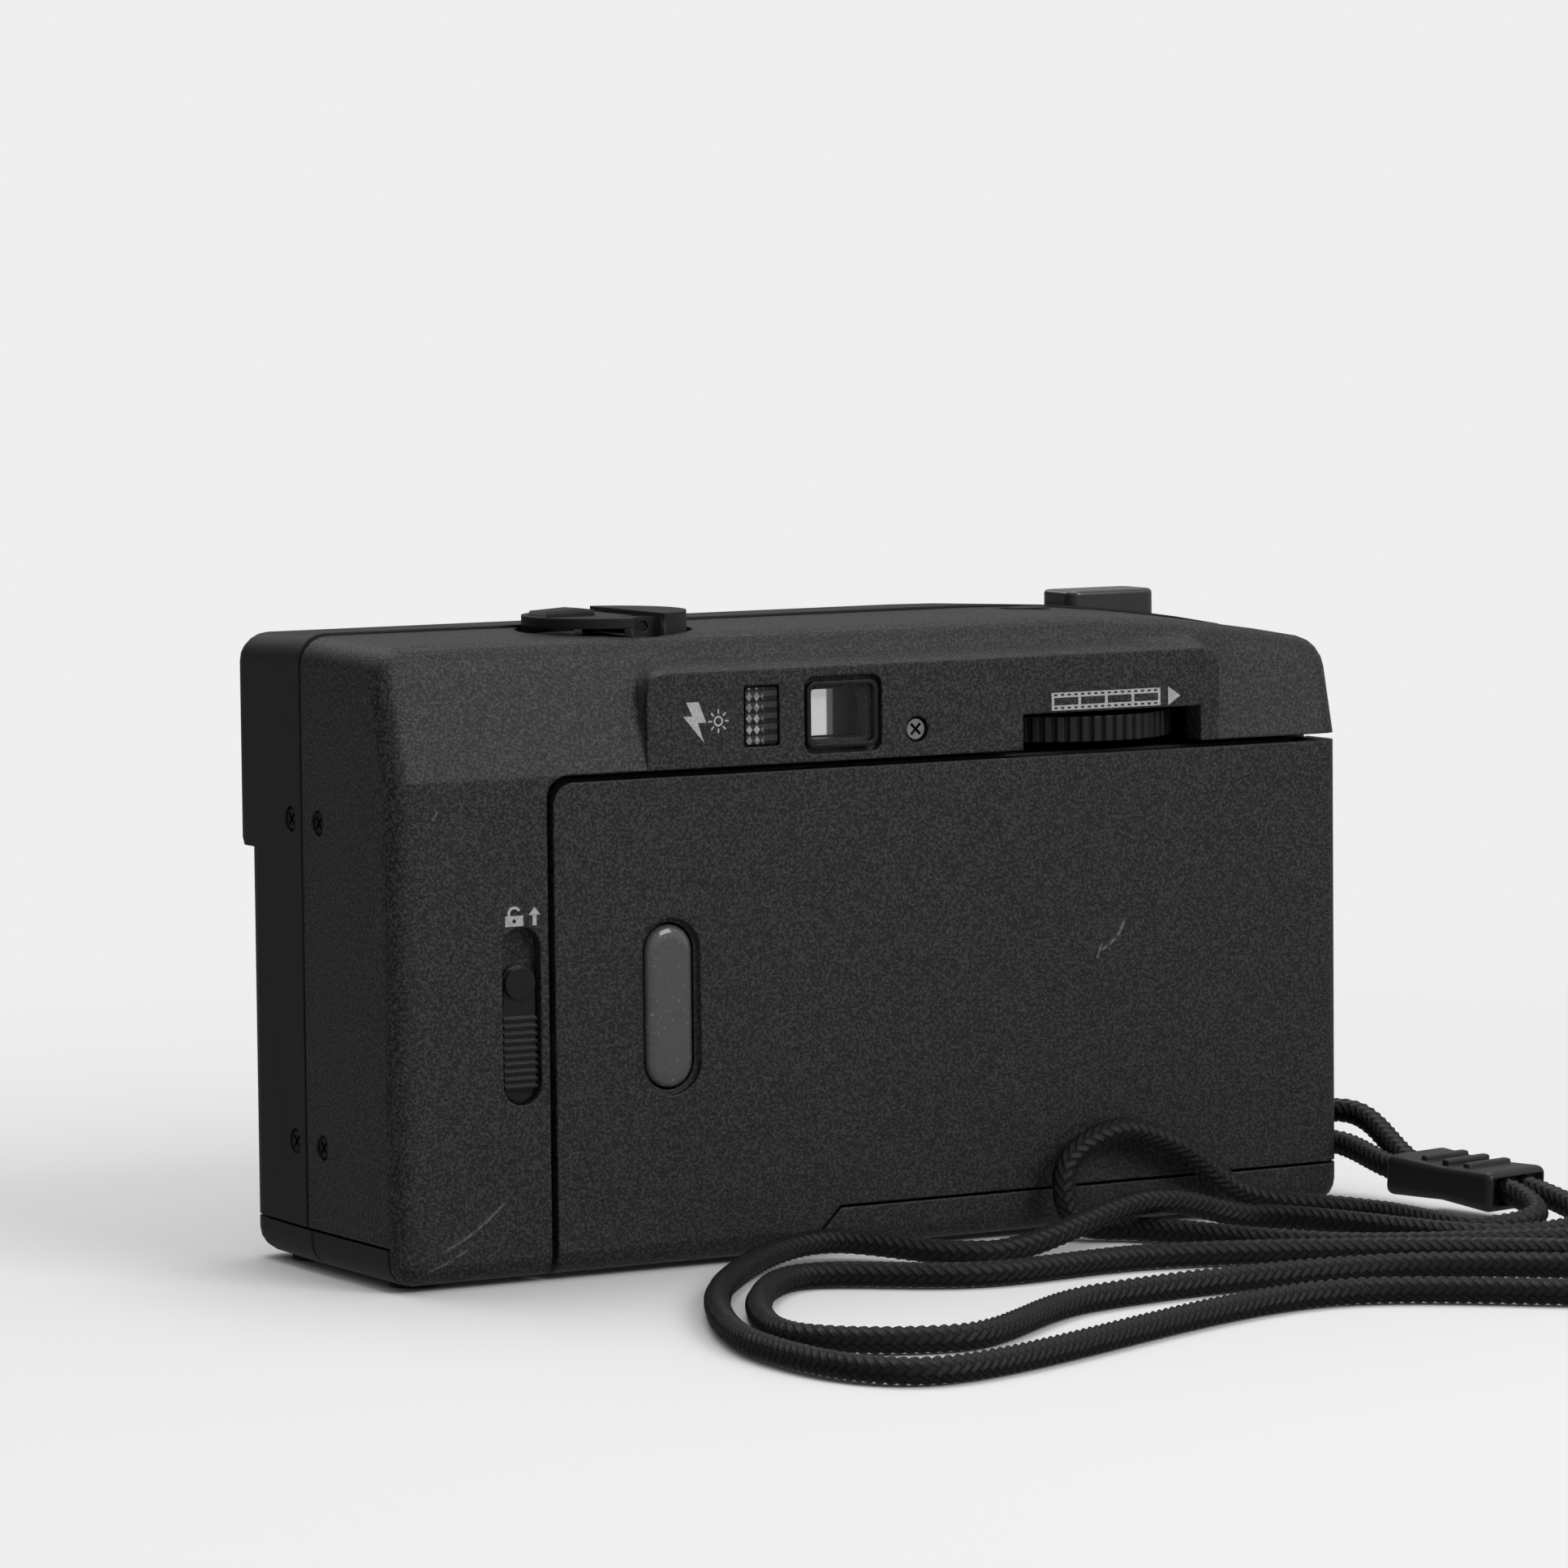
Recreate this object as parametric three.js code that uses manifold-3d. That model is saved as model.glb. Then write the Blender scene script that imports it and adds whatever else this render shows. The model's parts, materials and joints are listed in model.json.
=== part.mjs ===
// Compact 35 mm film camera with a built-in flash, seen as its maker would draw it.
// Millimetres. +Z up, -Y to the front (lens), +Y to the rear (film door).
// +X is the end with the batteries and the film cassette, -X the end with the shutter button.
// The origin is on the table, under the middle of the camera.
import * as THREE from 'three';
import { mergeVertices } from 'three/addons/utils/BufferGeometryUtils.js';
import Module from 'manifold-3d';

const wasm = await Module();
wasm.setup();

// ---------------------------------------------------------------- driving dimensions
const BODY_WIDTH = 128.5;
const OVERALL_DEPTH = 46.4; // rear face to the front of the lens ring
const CROWN_HEIGHT = 73.75; // top of the body on its parting line
const FOOT_HEIGHT = 0.7; // underside of the body above the table
const SEAM_DEPTH = 22.8; // parting line, in front of the rear face
const LOWER_FRONT_DEPTH = 39.3; // plain front face, in front of the rear face
const UPPER_FRONT_DEPTH = 42.6; // proud upper block with the flash and the finder
const HOOD_HEIGHT = 15.85; // crown down to the film door's upper gap
const WALL = 1.9; // moulded shells
const GAP = 0.3; // between fixed pieces that touch
const RUN = 0.35; // between pieces that move past each other
const SEAM_GAP = 0.3; // between the two shells
const LAP = 0.01; // overlap of blocks that are joined into one piece
const PIN_RADIUS = 0.9;
const EAR = 2.6; // height of a hinge ear inside the door's opening

// body form
const REAR_EDGE_RADIUS = 2.6;
const FRONT_EDGE_RADIUS = 3.6;
const UNDER_EDGE_RADIUS = 3.0;
const SHOULDER_RADIUS = 3.3;
const RIGHT_SHOULDER_RADIUS = 3.6;
const FALL_LENGTH = 40.25; // shutter end to where the top starts to drop towards it
const FALL_RADIUS = 190;
const CROWN_SLOPE = 0.04; // drop of the top per millimetre away from the parting line
const SIDE_DRAFT = 0.035; // narrowing of the front shell per millimetre
const REAR_DRAFT = 0.01;
const HOOD_LEAN = Math.tan(THREE.MathUtils.degToRad(14)); // rear of the hood leans forward

// film door
const DOOR_LEFT_INSET = 19.85; // battery end to the door's free edge gap
const DOOR_GAP = 0.85;
const DOOR_THICKNESS = 2.2;
const DOOR_CORNER_RADIUS = 2.6;
const SILL_HEIGHT = 5.6; // top of the fixed strip under the door
const SILL_LENGTH = 70.5; // from the shutter end
const SILL_NOTCH = 2.9; // slanted step at the strip's end
const HINGE_INSET = 2.4; // hinge pin to the end face
const HINGE_DEPTH = 9; // hinge pin to the rear face
const HINGE_SWING = 0.8; // room for the door's edge as it turns round the pin
const HINGE_PIN_RADIUS = 0.75;

// film transport
const CASSETTE_INSET = 35.75; // battery end to the cassette axis
const TAKEUP_INSET = 18.25; // shutter end to the take-up axis
const SPOOL_DEPTH = 15.6; // cassette and take-up axes to the rear face
const CASSETTE_CHAMBER_RADIUS = 13;
const TAKEUP_CHAMBER_RADIUS = 11.6;
const CHAMBER_FLOOR = 8;
const CHASSIS_WALL = 1.5;
const FILM_DEPTH = 4.6; // film plane to the rear face
const GATE_WIDTH = 36;
const GATE_HEIGHT = 24;
const SPOOL_RADIUS = 5.4;
const SPROCKET_RADIUS = 4.4;
const SPROCKET_OFFSET = 13.4; // take-up axis to sprocket axis
const WHEEL_RADIUS = 14.4;
const WHEEL_THICKNESS = 3;
const WHEEL_RIDGES = 60;
const WHEEL_INSET = 32.2; // shutter end to the wheel axis
const WHEEL_DEPTH = 14.8; // wheel axis to the rear face

// lens and shutter
const LENS_RING_RADIUS = 15.2;
const LENS_SEAT_RADIUS = 12.6;
const FRONT_GLASS_RADIUS = 5.4;

// batteries
const CELL_RADIUS = 7.1;
const CELL_LENGTH = 49.2;
const CELL_CLEARANCE = 1.6; // cells to the inside of the battery end's wall
const CELL_DEPTHS = [13.4, 28.4]; // cell axes to the rear face
const BATTERY_DOOR_HEIGHT = 4.9; // how far the door wraps up the end
const BATTERY_DOOR_LENGTH = 20.3; // along the underside
const BATTERY_DOOR_REAR = 2.6; // rear edge to the rear face
const BATTERY_HINGE_RADIUS = 1.6;

// strap
const CORD_DIAMETER = 3;
const SLIDER_SIZE = [17, 10.4, 5]; // along the cord, across, thick

// ---------------------------------------------------------------- derived places
const LEFT = BODY_WIDTH / 2;
const RIGHT = -BODY_WIDTH / 2;
const REAR = OVERALL_DEPTH / 2;
const yAt = (depth) => REAR - depth; // a plane so many millimetres in front of the rear face
const SEAM_Y = yAt(SEAM_DEPTH);
const DOOR_TOP = CROWN_HEIGHT - HOOD_HEIGHT;
const DOOR_LEFT = LEFT - DOOR_LEFT_INSET;
const HINGE_RADIUS = HINGE_INSET - 0.05;
const SILL_END = RIGHT + SILL_LENGTH;
const CHAMBER_CEILING = DOOR_TOP - 2.2;
const MID_Z = (CHAMBER_FLOOR + CHAMBER_CEILING) / 2;
const CASSETTE_X = LEFT - CASSETTE_INSET;
const TAKEUP_X = RIGHT + TAKEUP_INSET;
const SPROCKET_X = TAKEUP_X + SPROCKET_OFFSET;
const SPOOL_Y = yAt(SPOOL_DEPTH);
const LENS_X = (CASSETTE_X + TAKEUP_X) / 2;
const HINGE_X = RIGHT + HINGE_INSET;
const HINGE_Y = yAt(HINGE_DEPTH);
const WHEEL_X = RIGHT + WHEEL_INSET;
const WHEEL_Y = yAt(WHEEL_DEPTH);
const WHEEL_Z = DOOR_TOP + 0.5;
const CELL_X = LEFT - WALL - CELL_CLEARANCE - CELL_RADIUS;
const FALL_START_X = RIGHT + FALL_LENGTH;
const FAR = 200; // reach of cutting blocks

// ---------------------------------------------------------------- solids from three.js geometry
function toSolid(geometry) {
  let plain = geometry.index ? geometry.toNonIndexed() : geometry.clone();
  for (const name of Object.keys(plain.attributes)) {
    if (name !== 'position') {
      plain.deleteAttribute(name);
    }
  }
  plain = mergeVertices(plain, 1e-5);
  const vertProperties = new Float32Array(plain.attributes.position.array);
  const triVerts = new Uint32Array(plain.index.array);
  return new wasm.Manifold(new wasm.Mesh({ numProp: 3, vertProperties, triVerts }));
}

function toGeometry(solid) {
  const mesh = solid.getMesh();
  const points = new Float32Array(mesh.numVert * 3);
  for (let i = 0; i < mesh.numVert; i += 1) {
    for (let k = 0; k < 3; k += 1) {
      points[i * 3 + k] = mesh.vertProperties[i * mesh.numProp + k];
    }
  }
  const geometry = new THREE.BufferGeometry();
  geometry.setAttribute('position', new THREE.BufferAttribute(points, 3));
  geometry.setIndex(new THREE.BufferAttribute(new Uint32Array(mesh.triVerts), 1));
  geometry.computeVertexNormals();
  return geometry;
}

function box(x0, x1, y0, y1, z0, z1) {
  const geometry = new THREE.BoxGeometry(x1 - x0, y1 - y0, z1 - z0);
  geometry.translate((x0 + x1) / 2, (y0 + y1) / 2, (z0 + z1) / 2);
  return toSolid(geometry);
}

// A cylinder along Z, or turned to lie along X or Y.
function cylinder(axis, radius, from, to, [a, b], sides = 32, endRadius = radius) {
  const geometry = new THREE.CylinderGeometry(endRadius, radius, to - from, sides);
  geometry.rotateX(Math.PI / 2);
  geometry.translate(0, 0, (from + to) / 2);
  if (axis === 'x') {
    geometry.applyMatrix4(new THREE.Matrix4().set(0, 0, 1, 0, 1, 0, 0, a, 0, 1, 0, b, 0, 0, 0, 1));
  } else if (axis === 'y') {
    geometry.applyMatrix4(new THREE.Matrix4().set(0, 1, 0, a, 0, 0, 1, 0, 1, 0, 0, b, 0, 0, 0, 1));
  } else {
    geometry.translate(a, b, 0);
  }
  return toSolid(geometry);
}

// A flat outline given in X and Z, pushed along Y.
function prismY(shape, y0, y1, curveSegments = 8) {
  const geometry = new THREE.ExtrudeGeometry(shape, { depth: y1 - y0, bevelEnabled: false, curveSegments });
  geometry.rotateX(Math.PI / 2);
  geometry.translate(0, y1, 0);
  return toSolid(geometry);
}

// A flat outline given in Y and Z, pushed along X.
function prismX(shape, x0, x1, curveSegments = 8) {
  const geometry = new THREE.ExtrudeGeometry(shape, { depth: x1 - x0, bevelEnabled: false, curveSegments });
  geometry.applyMatrix4(new THREE.Matrix4().set(0, 0, 1, x0, 1, 0, 0, 0, 0, 1, 0, 0, 0, 0, 0, 1));
  return toSolid(geometry);
}

// A flat outline given in X and Y, pushed up along Z.
function prismZ(shape, z0, z1, curveSegments = 8) {
  const geometry = new THREE.ExtrudeGeometry(shape, { depth: z1 - z0, bevelEnabled: false, curveSegments });
  geometry.translate(0, 0, z0);
  return toSolid(geometry);
}

function outline(points) {
  return new THREE.Shape(points.map(([a, b]) => new THREE.Vector2(a, b)));
}

// A rectangle with rounded corners, as a ring of points.
function roundedRing(a0, a1, b0, b1, radius, steps = 5) {
  const ring = [];
  const corners = [[a1 - radius, b0 + radius, -90], [a1 - radius, b1 - radius, 0],
    [a0 + radius, b1 - radius, 90], [a0 + radius, b0 + radius, 180]];
  for (const [ca, cb, start] of corners) {
    for (let i = 0; i <= steps; i += 1) {
      const turn = THREE.MathUtils.degToRad(start + (90 * i) / steps);
      ring.push([ca + radius * Math.cos(turn), cb + radius * Math.sin(turn)]);
    }
  }
  return ring;
}

// A closed body through rings of equal point count, each ring given as 3D points.
function loft(rings) {
  const count = rings[0].length;
  const points = rings.flat();
  const faces = [];
  for (let r = 0; r + 1 < rings.length; r += 1) {
    for (let i = 0; i < count; i += 1) {
      const a = r * count + i;
      const b = r * count + ((i + 1) % count);
      faces.push([a, b, b + count], [a, b + count, a + count]);
    }
  }
  const flat = rings[0].map(([x, , z]) => new THREE.Vector2(x, z));
  const last = (rings.length - 1) * count;
  for (const [a, b, c] of THREE.ShapeUtils.triangulateShape(flat, [])) {
    faces.push([a, c, b], [last + a, last + b, last + c]);
  }
  const vertProperties = new Float32Array(points.flat());
  let triVerts = new Uint32Array(faces.flat());
  let volume = 0;
  for (const [a, b, c] of faces) {
    const [p, q, s] = [a, b, c].map((i) => new THREE.Vector3(...points[i]));
    volume += p.dot(q.cross(s));
  }
  if (volume < 0) {
    triVerts = new Uint32Array(faces.map(([a, b, c]) => [a, c, b]).flat());
  }
  return new wasm.Manifold(new wasm.Mesh({ numProp: 3, vertProperties, triVerts }));
}

// A turned body: a profile of radius against distance, about an axis along Y or Z.
function turned(axis, profile, [a, b], sides = 32) {
  const geometry = new THREE.LatheGeometry(profile.map(([r, h]) => new THREE.Vector2(r, h)), sides);
  if (axis === 'y') {
    geometry.translate(a, 0, b);
  } else {
    geometry.rotateX(Math.PI / 2);
    geometry.translate(a, b, 0);
  }
  return toSolid(geometry);
}

function joined(solids) {
  return solids.reduce((sum, next) => sum.add(next));
}

// ---------------------------------------------------------------- the object and its pieces
const camera = new THREE.Group();

const PAINTS = {
  grained: { color: 0x2b2b2d, roughness: 0.62, metalness: 0 },
  black: { color: 0x18181a, roughness: 0.5, metalness: 0 },
  gloss: { color: 0x101012, roughness: 0.18, metalness: 0 },
  clear: { color: 0xb9bcc0, roughness: 0.08, metalness: 0 },
  steel: { color: 0xb4b6b9, roughness: 0.3, metalness: 1 },
  brass: { color: 0xb89a55, roughness: 0.35, metalness: 1 },
  rubber: { color: 0x1b1b1b, roughness: 0.85, metalness: 0 },
  board: { color: 0x2c5b3c, roughness: 0.55, metalness: 0 },
  cell: { color: 0x6d6f73, roughness: 0.35, metalness: 0.6 },
  white: { color: 0xe2e0da, roughness: 0.5, metalness: 0 },
  cord: { color: 0x161617, roughness: 0.7, metalness: 0 },
  lamp: { color: 0xd9762f, roughness: 0.25, metalness: 0 },
};

function piece(name, solid, paint, place = [0, 0, 0]) {
  const geometry = solid.isBufferGeometry ? solid : toGeometry(solid);
  const mesh = new THREE.Mesh(geometry, new THREE.MeshStandardMaterial(PAINTS[paint]));
  mesh.name = name;
  mesh.position.set(...place);
  camera.add(mesh);
  return mesh;
}

// ---------------------------------------------------------------- outer form of the body
// Outline of the body across its width, drawn in by an inset all round.
function bodyRing(y, inset, toward) {
  const away = Math.max(0, toward * (y - SEAM_Y));
  const half = LEFT - (toward < 0 ? SIDE_DRAFT : REAR_DRAFT) * away - inset;
  const top = CROWN_HEIGHT - CROWN_SLOPE * Math.max(0, toward < 0 ? away : away - 4) - inset;
  const bottom = FOOT_HEIGHT + inset;
  const ring = [];
  const arc = (cx, cz, radius, start, end, steps) => {
    for (let i = 0; i <= steps; i += 1) {
      const turn = THREE.MathUtils.degToRad(start + ((end - start) * i) / steps);
      ring.push([cx + radius * Math.cos(turn), y, cz + radius * Math.sin(turn)]);
    }
  };
  const under = Math.max(UNDER_EDGE_RADIUS - inset, 0.4);
  const shoulder = Math.max(SHOULDER_RADIUS - inset, 0.4);
  const right = Math.max(RIGHT_SHOULDER_RADIUS - inset, 0.4);
  arc(half - under, bottom + under, under, -90, 0, 4);
  arc(half - shoulder, top - shoulder, shoulder, 0, 90, 5);
  const fallAt = (x) => top - (x - FALL_START_X) ** 2 / (2 * FALL_RADIUS);
  const centreX = -half + right;
  const lean = THREE.MathUtils.radToDeg(Math.atan((FALL_START_X - centreX) / FALL_RADIUS));
  const touchX = centreX + right * Math.cos(THREE.MathUtils.degToRad(90 + lean));
  const steps = 6;
  for (let i = 0; i < steps; i += 1) {
    const x = FALL_START_X + ((touchX - FALL_START_X) * i) / steps;
    ring.push([x, y, fallAt(x)]);
  }
  const centreZ = fallAt(touchX) - right * Math.sin(THREE.MathUtils.degToRad(90 + lean));
  arc(centreX, centreZ, right, 90 + lean, 180, 4);
  arc(-half + under, bottom + under, under, 180, 270, 4);
  return ring;
}

// The body's form from one plane to another, its far edge rounded.
function bodyForm(startY, endY, inset, edgeRadius) {
  const toward = Math.sign(endY - startY);
  const rings = [bodyRing(startY, inset, toward)];
  const radius = Math.max(edgeRadius - inset, 0.3);
  const steps = 5;
  for (let i = 0; i <= steps; i += 1) {
    const turn = ((Math.PI / 2) * i) / steps;
    const y = endY - toward * radius * (1 - Math.sin(turn));
    rings.push(bodyRing(y, inset + radius * (1 - Math.cos(turn)), toward));
  }
  return loft(rings);
}

// The rear of the hood leans forward above the film door.
function leanHood(solid) {
  const lower = solid.intersect(box(-FAR, FAR, -FAR, FAR, -FAR, DOOR_TOP + LAP));
  const upper = toGeometry(solid.intersect(box(-FAR, FAR, -FAR, FAR, DOOR_TOP, FAR)));
  const spot = upper.attributes.position;
  for (let i = 0; i < spot.count; i += 1) {
    spot.setY(i, spot.getY(i) - (spot.getZ(i) - DOOR_TOP) * HOOD_LEAN);
  }
  return lower.add(toSolid(upper));
}

// The lean would reach over the parting line, so it is trimmed there.
function rearForm(inset, seamY) {
  const form = leanHood(bodyForm(SEAM_Y - 12, REAR - inset, inset, REAR_EDGE_RADIUS));
  return form.intersect(box(-FAR, FAR, seamY, FAR, -FAR, FAR));
}

const STEP_LOW = DOOR_TOP - 9.6; // lower and upper lines of the step in the front
const STEP_HIGH = DOOR_TOP - 6;

function frontForm(seamY) {
  const lower = bodyForm(seamY, yAt(LOWER_FRONT_DEPTH), 0, FRONT_EDGE_RADIUS);
  const upper = bodyForm(seamY, yAt(UPPER_FRONT_DEPTH), 0, FRONT_EDGE_RADIUS);
  const block = prismX(outline([
    [FAR, STEP_LOW], [yAt(LOWER_FRONT_DEPTH), STEP_LOW], [yAt(UPPER_FRONT_DEPTH), STEP_HIGH],
    [yAt(UPPER_FRONT_DEPTH - 2.2), DOOR_TOP + 12.6], [yAt(UPPER_FRONT_DEPTH - 2.9), DOOR_TOP + 14.2],
    [yAt(UPPER_FRONT_DEPTH - 5.5), FAR], [FAR, FAR],
  ]), -FAR, FAR);
  return lower.intersect(box(-FAR, FAR, -FAR, FAR, -FAR, STEP_LOW + LAP)).add(upper.intersect(block));
}

// ---------------------------------------------------------------- places shared by the shells
const EYE_X = LEFT - 58.85;
const EYE_Z = DOOR_TOP + 5.4;
const EYE_RECESS = [10.4, 9];
const FINDER_WINDOW = [13.6, 9.4];
const READY_X = LEFT - 48;
const READY_Z = DOOR_TOP + 5.65;
const READY_SIZE = [4.75, 7.1];
const EYE_GLASS = [8.2, 6.4];
const REAR_SCREW = [LEFT - 68.8, DOOR_TOP + 3.15, 0.1]; // X, Z and depth of the wall there
const SCREW_HEAD_RADIUS = 1.2;
const SCREW_BORE_RADIUS = 1.55;
const SCREW_HEAD_HEIGHT = 0.75;
const SCREW_SHANK_RADIUS = 0.65;
const SIDE_SCREW_DEPTHS = [SEAM_DEPTH + 3, SEAM_DEPTH - 4.1];
const SIDE_SCREW_HEIGHTS = [DOOR_TOP - 5.6, 14.9];
const PANEL_LEFT = LEFT - 32.95;
const PANEL_RIGHT = RIGHT + 17.75;
const PANEL_TOP = DOOR_TOP + 11;
const PANEL_DEPTH = 3.4;
const PANEL_RAMP = 1.5; // rise of the panel's top from its face to the leaning wall
const WHEEL_WINDOW = [WHEEL_X - 11.9, WHEEL_X + 13];
const WHEEL_WINDOW_TOP = DOOR_TOP + 4.2;
const CRANK_RADIUS = 9.7;
const CRANK_RECESS_RADIUS = CRANK_RADIUS + 0.65;
const CRANK_FLOOR = CROWN_HEIGHT - 3.2;
const CRANK_PIN_RADIUS = 0.5;
const SHAFT_RADIUS = 2.2;
const DIAL_RADIUS = 7.3;
const DIAL_Z = CROWN_HEIGHT - 5;
const COUNTER_X = WHEEL_X + 0.6;
const COUNTER_Y = SEAM_Y + 3.2;
const COUNTER_HALF = [3.3, 1.9];
const BUTTON_X = RIGHT + 17;
const BUTTON_Y = SEAM_Y - 5.4;
const BUTTON_SIZE = [12.4, 7.2];
const BUTTON_TOP = CROWN_HEIGHT + 0.9;
const LATCH_X = DOOR_LEFT + 3.5;
const LATCH_SLOT = [4.95, 20.4];
const LATCH_Z = MID_Z - 1.05;
const LATCH_TRAVEL = 4;
const LATCH_DEPTH = 1.7;
const LATCH_PAD_DEPTH = 3.2;
const KNOB_RADIUS = 1.9;
const RIB_PITCH = 0.43;
const PANE_Z = MID_Z - 1.2;
const PANE_RECESS = [7.75, 20.5];
const PANE_HOLE = [6.6, 19.4];
const PANE_SIZE = [6, 18.8];
const PANE_RECESS_DEPTH = 0.8;
const PLATE_BACK = 3.1; // depth of the pressure plate's back
const FLASH_X = LEFT - 24.5;
const FLASH_Z = DOOR_TOP + 4.6;
const FLASH_SIZE = [27, 12.4];
const LUG_Y = yAt(17.3);
const LUG_Z = 7.4;
const LUG_RECESS = [9.2, 9.4, 5]; // along Y, along Z, deep
const FOOT_RADIUS = 3;
const FOOT_THICKNESS = 1.1;
const STRAP_PIN_X = RIGHT + 2.4;
const TUNNEL_DEPTH = 27.6; // front of the chamber behind the lens
const SPROCKET_Y = yAt(FILM_DEPTH + SPROCKET_RADIUS + 0.3);
const LENS_TUBE_RADIUS = 7.4;
const SHUTTER_DEPTH = TUNNEL_DEPTH + 1.4;
const BLADE_PIVOT = [LENS_X + 9.4, MID_Z];
const CELL_FLOOR = 5.4;
const RELEASE_X = SPROCKET_X;
const RELEASE_Y = SPOOL_Y - 3;
const RELEASE_RADIUS = 1.9;
const TRIPOD_RADIUS = 5;
const TRIPOD_THREAD_RADIUS = 3.1;
const TRIPOD_Y = yAt(15.8);
const SWITCH_X = LEFT - 12;
const SWITCH_Z = DOOR_TOP - 19;
const SWITCH_TRAVEL = 4;

const pill = (x, z, [width, height]) => roundedRing(
  x - width / 2, x + width / 2, z - height / 2, z + height / 2, Math.min(width, height) / 2 - 0.001, 7);
const frame = (x, z, [width, height], radius) => roundedRing(
  x - width / 2, x + width / 2, z - height / 2, z + height / 2, radius);

const BATTERY_DOOR_X = LEFT - BATTERY_DOOR_LENGTH;
const feet = [
  { name: 'foot_battery_end_rear', x: LEFT - 6, y: yAt(7.5), onDoor: true },
  { name: 'foot_battery_end_front', x: LEFT - 6, y: yAt(32.5), onDoor: true },
  { name: 'foot_shutter_end_rear', x: RIGHT + 7, y: yAt(7.5), onDoor: false },
  { name: 'foot_shutter_end_front', x: RIGHT + 7, y: yAt(32.5), onDoor: false },
];
const footPocket = ({ x, y }) => cylinder('z', FOOT_RADIUS + GAP, -1, FOOT_THICKNESS + GAP, [x, y], 20);

// Counterbore and clearance hole of a screw that goes in along an axis.
function screwHole(axis, face, inward, place) {
  const floor = face + inward * 1.25;
  const deep = face + inward * (WALL + 0.6);
  const outer = face - inward * 5;
  return cylinder(axis, SCREW_BORE_RADIUS, Math.min(outer, floor), Math.max(outer, floor), place, 16)
    .add(cylinder(axis, SCREW_SHANK_RADIUS + GAP, Math.min(outer, deep), Math.max(outer, deep), place, 12));
}

// The battery door turns about its inner edge. Its front wall starts level with the hinge pin.
const BATTERY_HINGE_X = BATTERY_DOOR_X + BATTERY_HINGE_RADIUS;
const BATTERY_HINGE_Z = FOOT_HEIGHT + BATTERY_HINGE_RADIUS;
const BATTERY_HINGE_SPAN = [yAt(33), yAt(9)];
const FRONT_WALL_Y = yAt(LOWER_FRONT_DEPTH - WALL);
const batteryDoorZone = (gap) => box(BATTERY_DOOR_X - gap, FAR, FRONT_WALL_Y, yAt(BATTERY_DOOR_REAR) + gap,
  -FAR, BATTERY_DOOR_HEIGHT + gap)
  .add(box(BATTERY_HINGE_X + RUN - gap, FAR, -FAR, FRONT_WALL_Y + 1, -FAR, BATTERY_DOOR_HEIGHT + gap));

const crankRecess = cylinder('z', CRANK_RECESS_RADIUS, CRANK_FLOOR, FAR, [CASSETTE_X, SPOOL_Y], 48)
  .add(cylinder('z', SHAFT_RADIUS + RUN, CHAMBER_CEILING, FAR, [CASSETTE_X, SPOOL_Y], 20));

// ---------------------------------------------------------------- film door outline
// The door's face in X and Z: a gap of nothing gives the door, DOOR_GAP the opening it sits in.
function doorFace(gap) {
  const left = DOOR_LEFT - DOOR_GAP + gap;
  const top = DOOR_TOP - DOOR_GAP + gap;
  const part = gap > 0 ? 0 : RUN;
  const radius = DOOR_CORNER_RADIUS;
  const face = [[left, -5]];
  for (let i = 0; i <= 6; i += 1) {
    const turn = ((Math.PI / 2) * i) / 6;
    face.push([left - radius + radius * Math.cos(turn), top - radius + radius * Math.sin(turn)]);
  }
  face.push([RIGHT - 5, top], [RIGHT - 5, SILL_HEIGHT + part], [SILL_END + part / 2, SILL_HEIGHT + part],
    [SILL_END + SILL_NOTCH + part, SILL_HEIGHT - SILL_NOTCH + part / 2],
      [SILL_END + SILL_NOTCH + part, -5]);
  return outline(face);
}

const faceBlock = (ring, fromDepth, toDepth) => prismY(outline(ring), yAt(fromDepth), yAt(toDepth));
const OUTSIDE = -12; // depth of a cut's start, clear of the rear face
const INFRONT = 60; // depth of a cut's start, clear of the front

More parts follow.
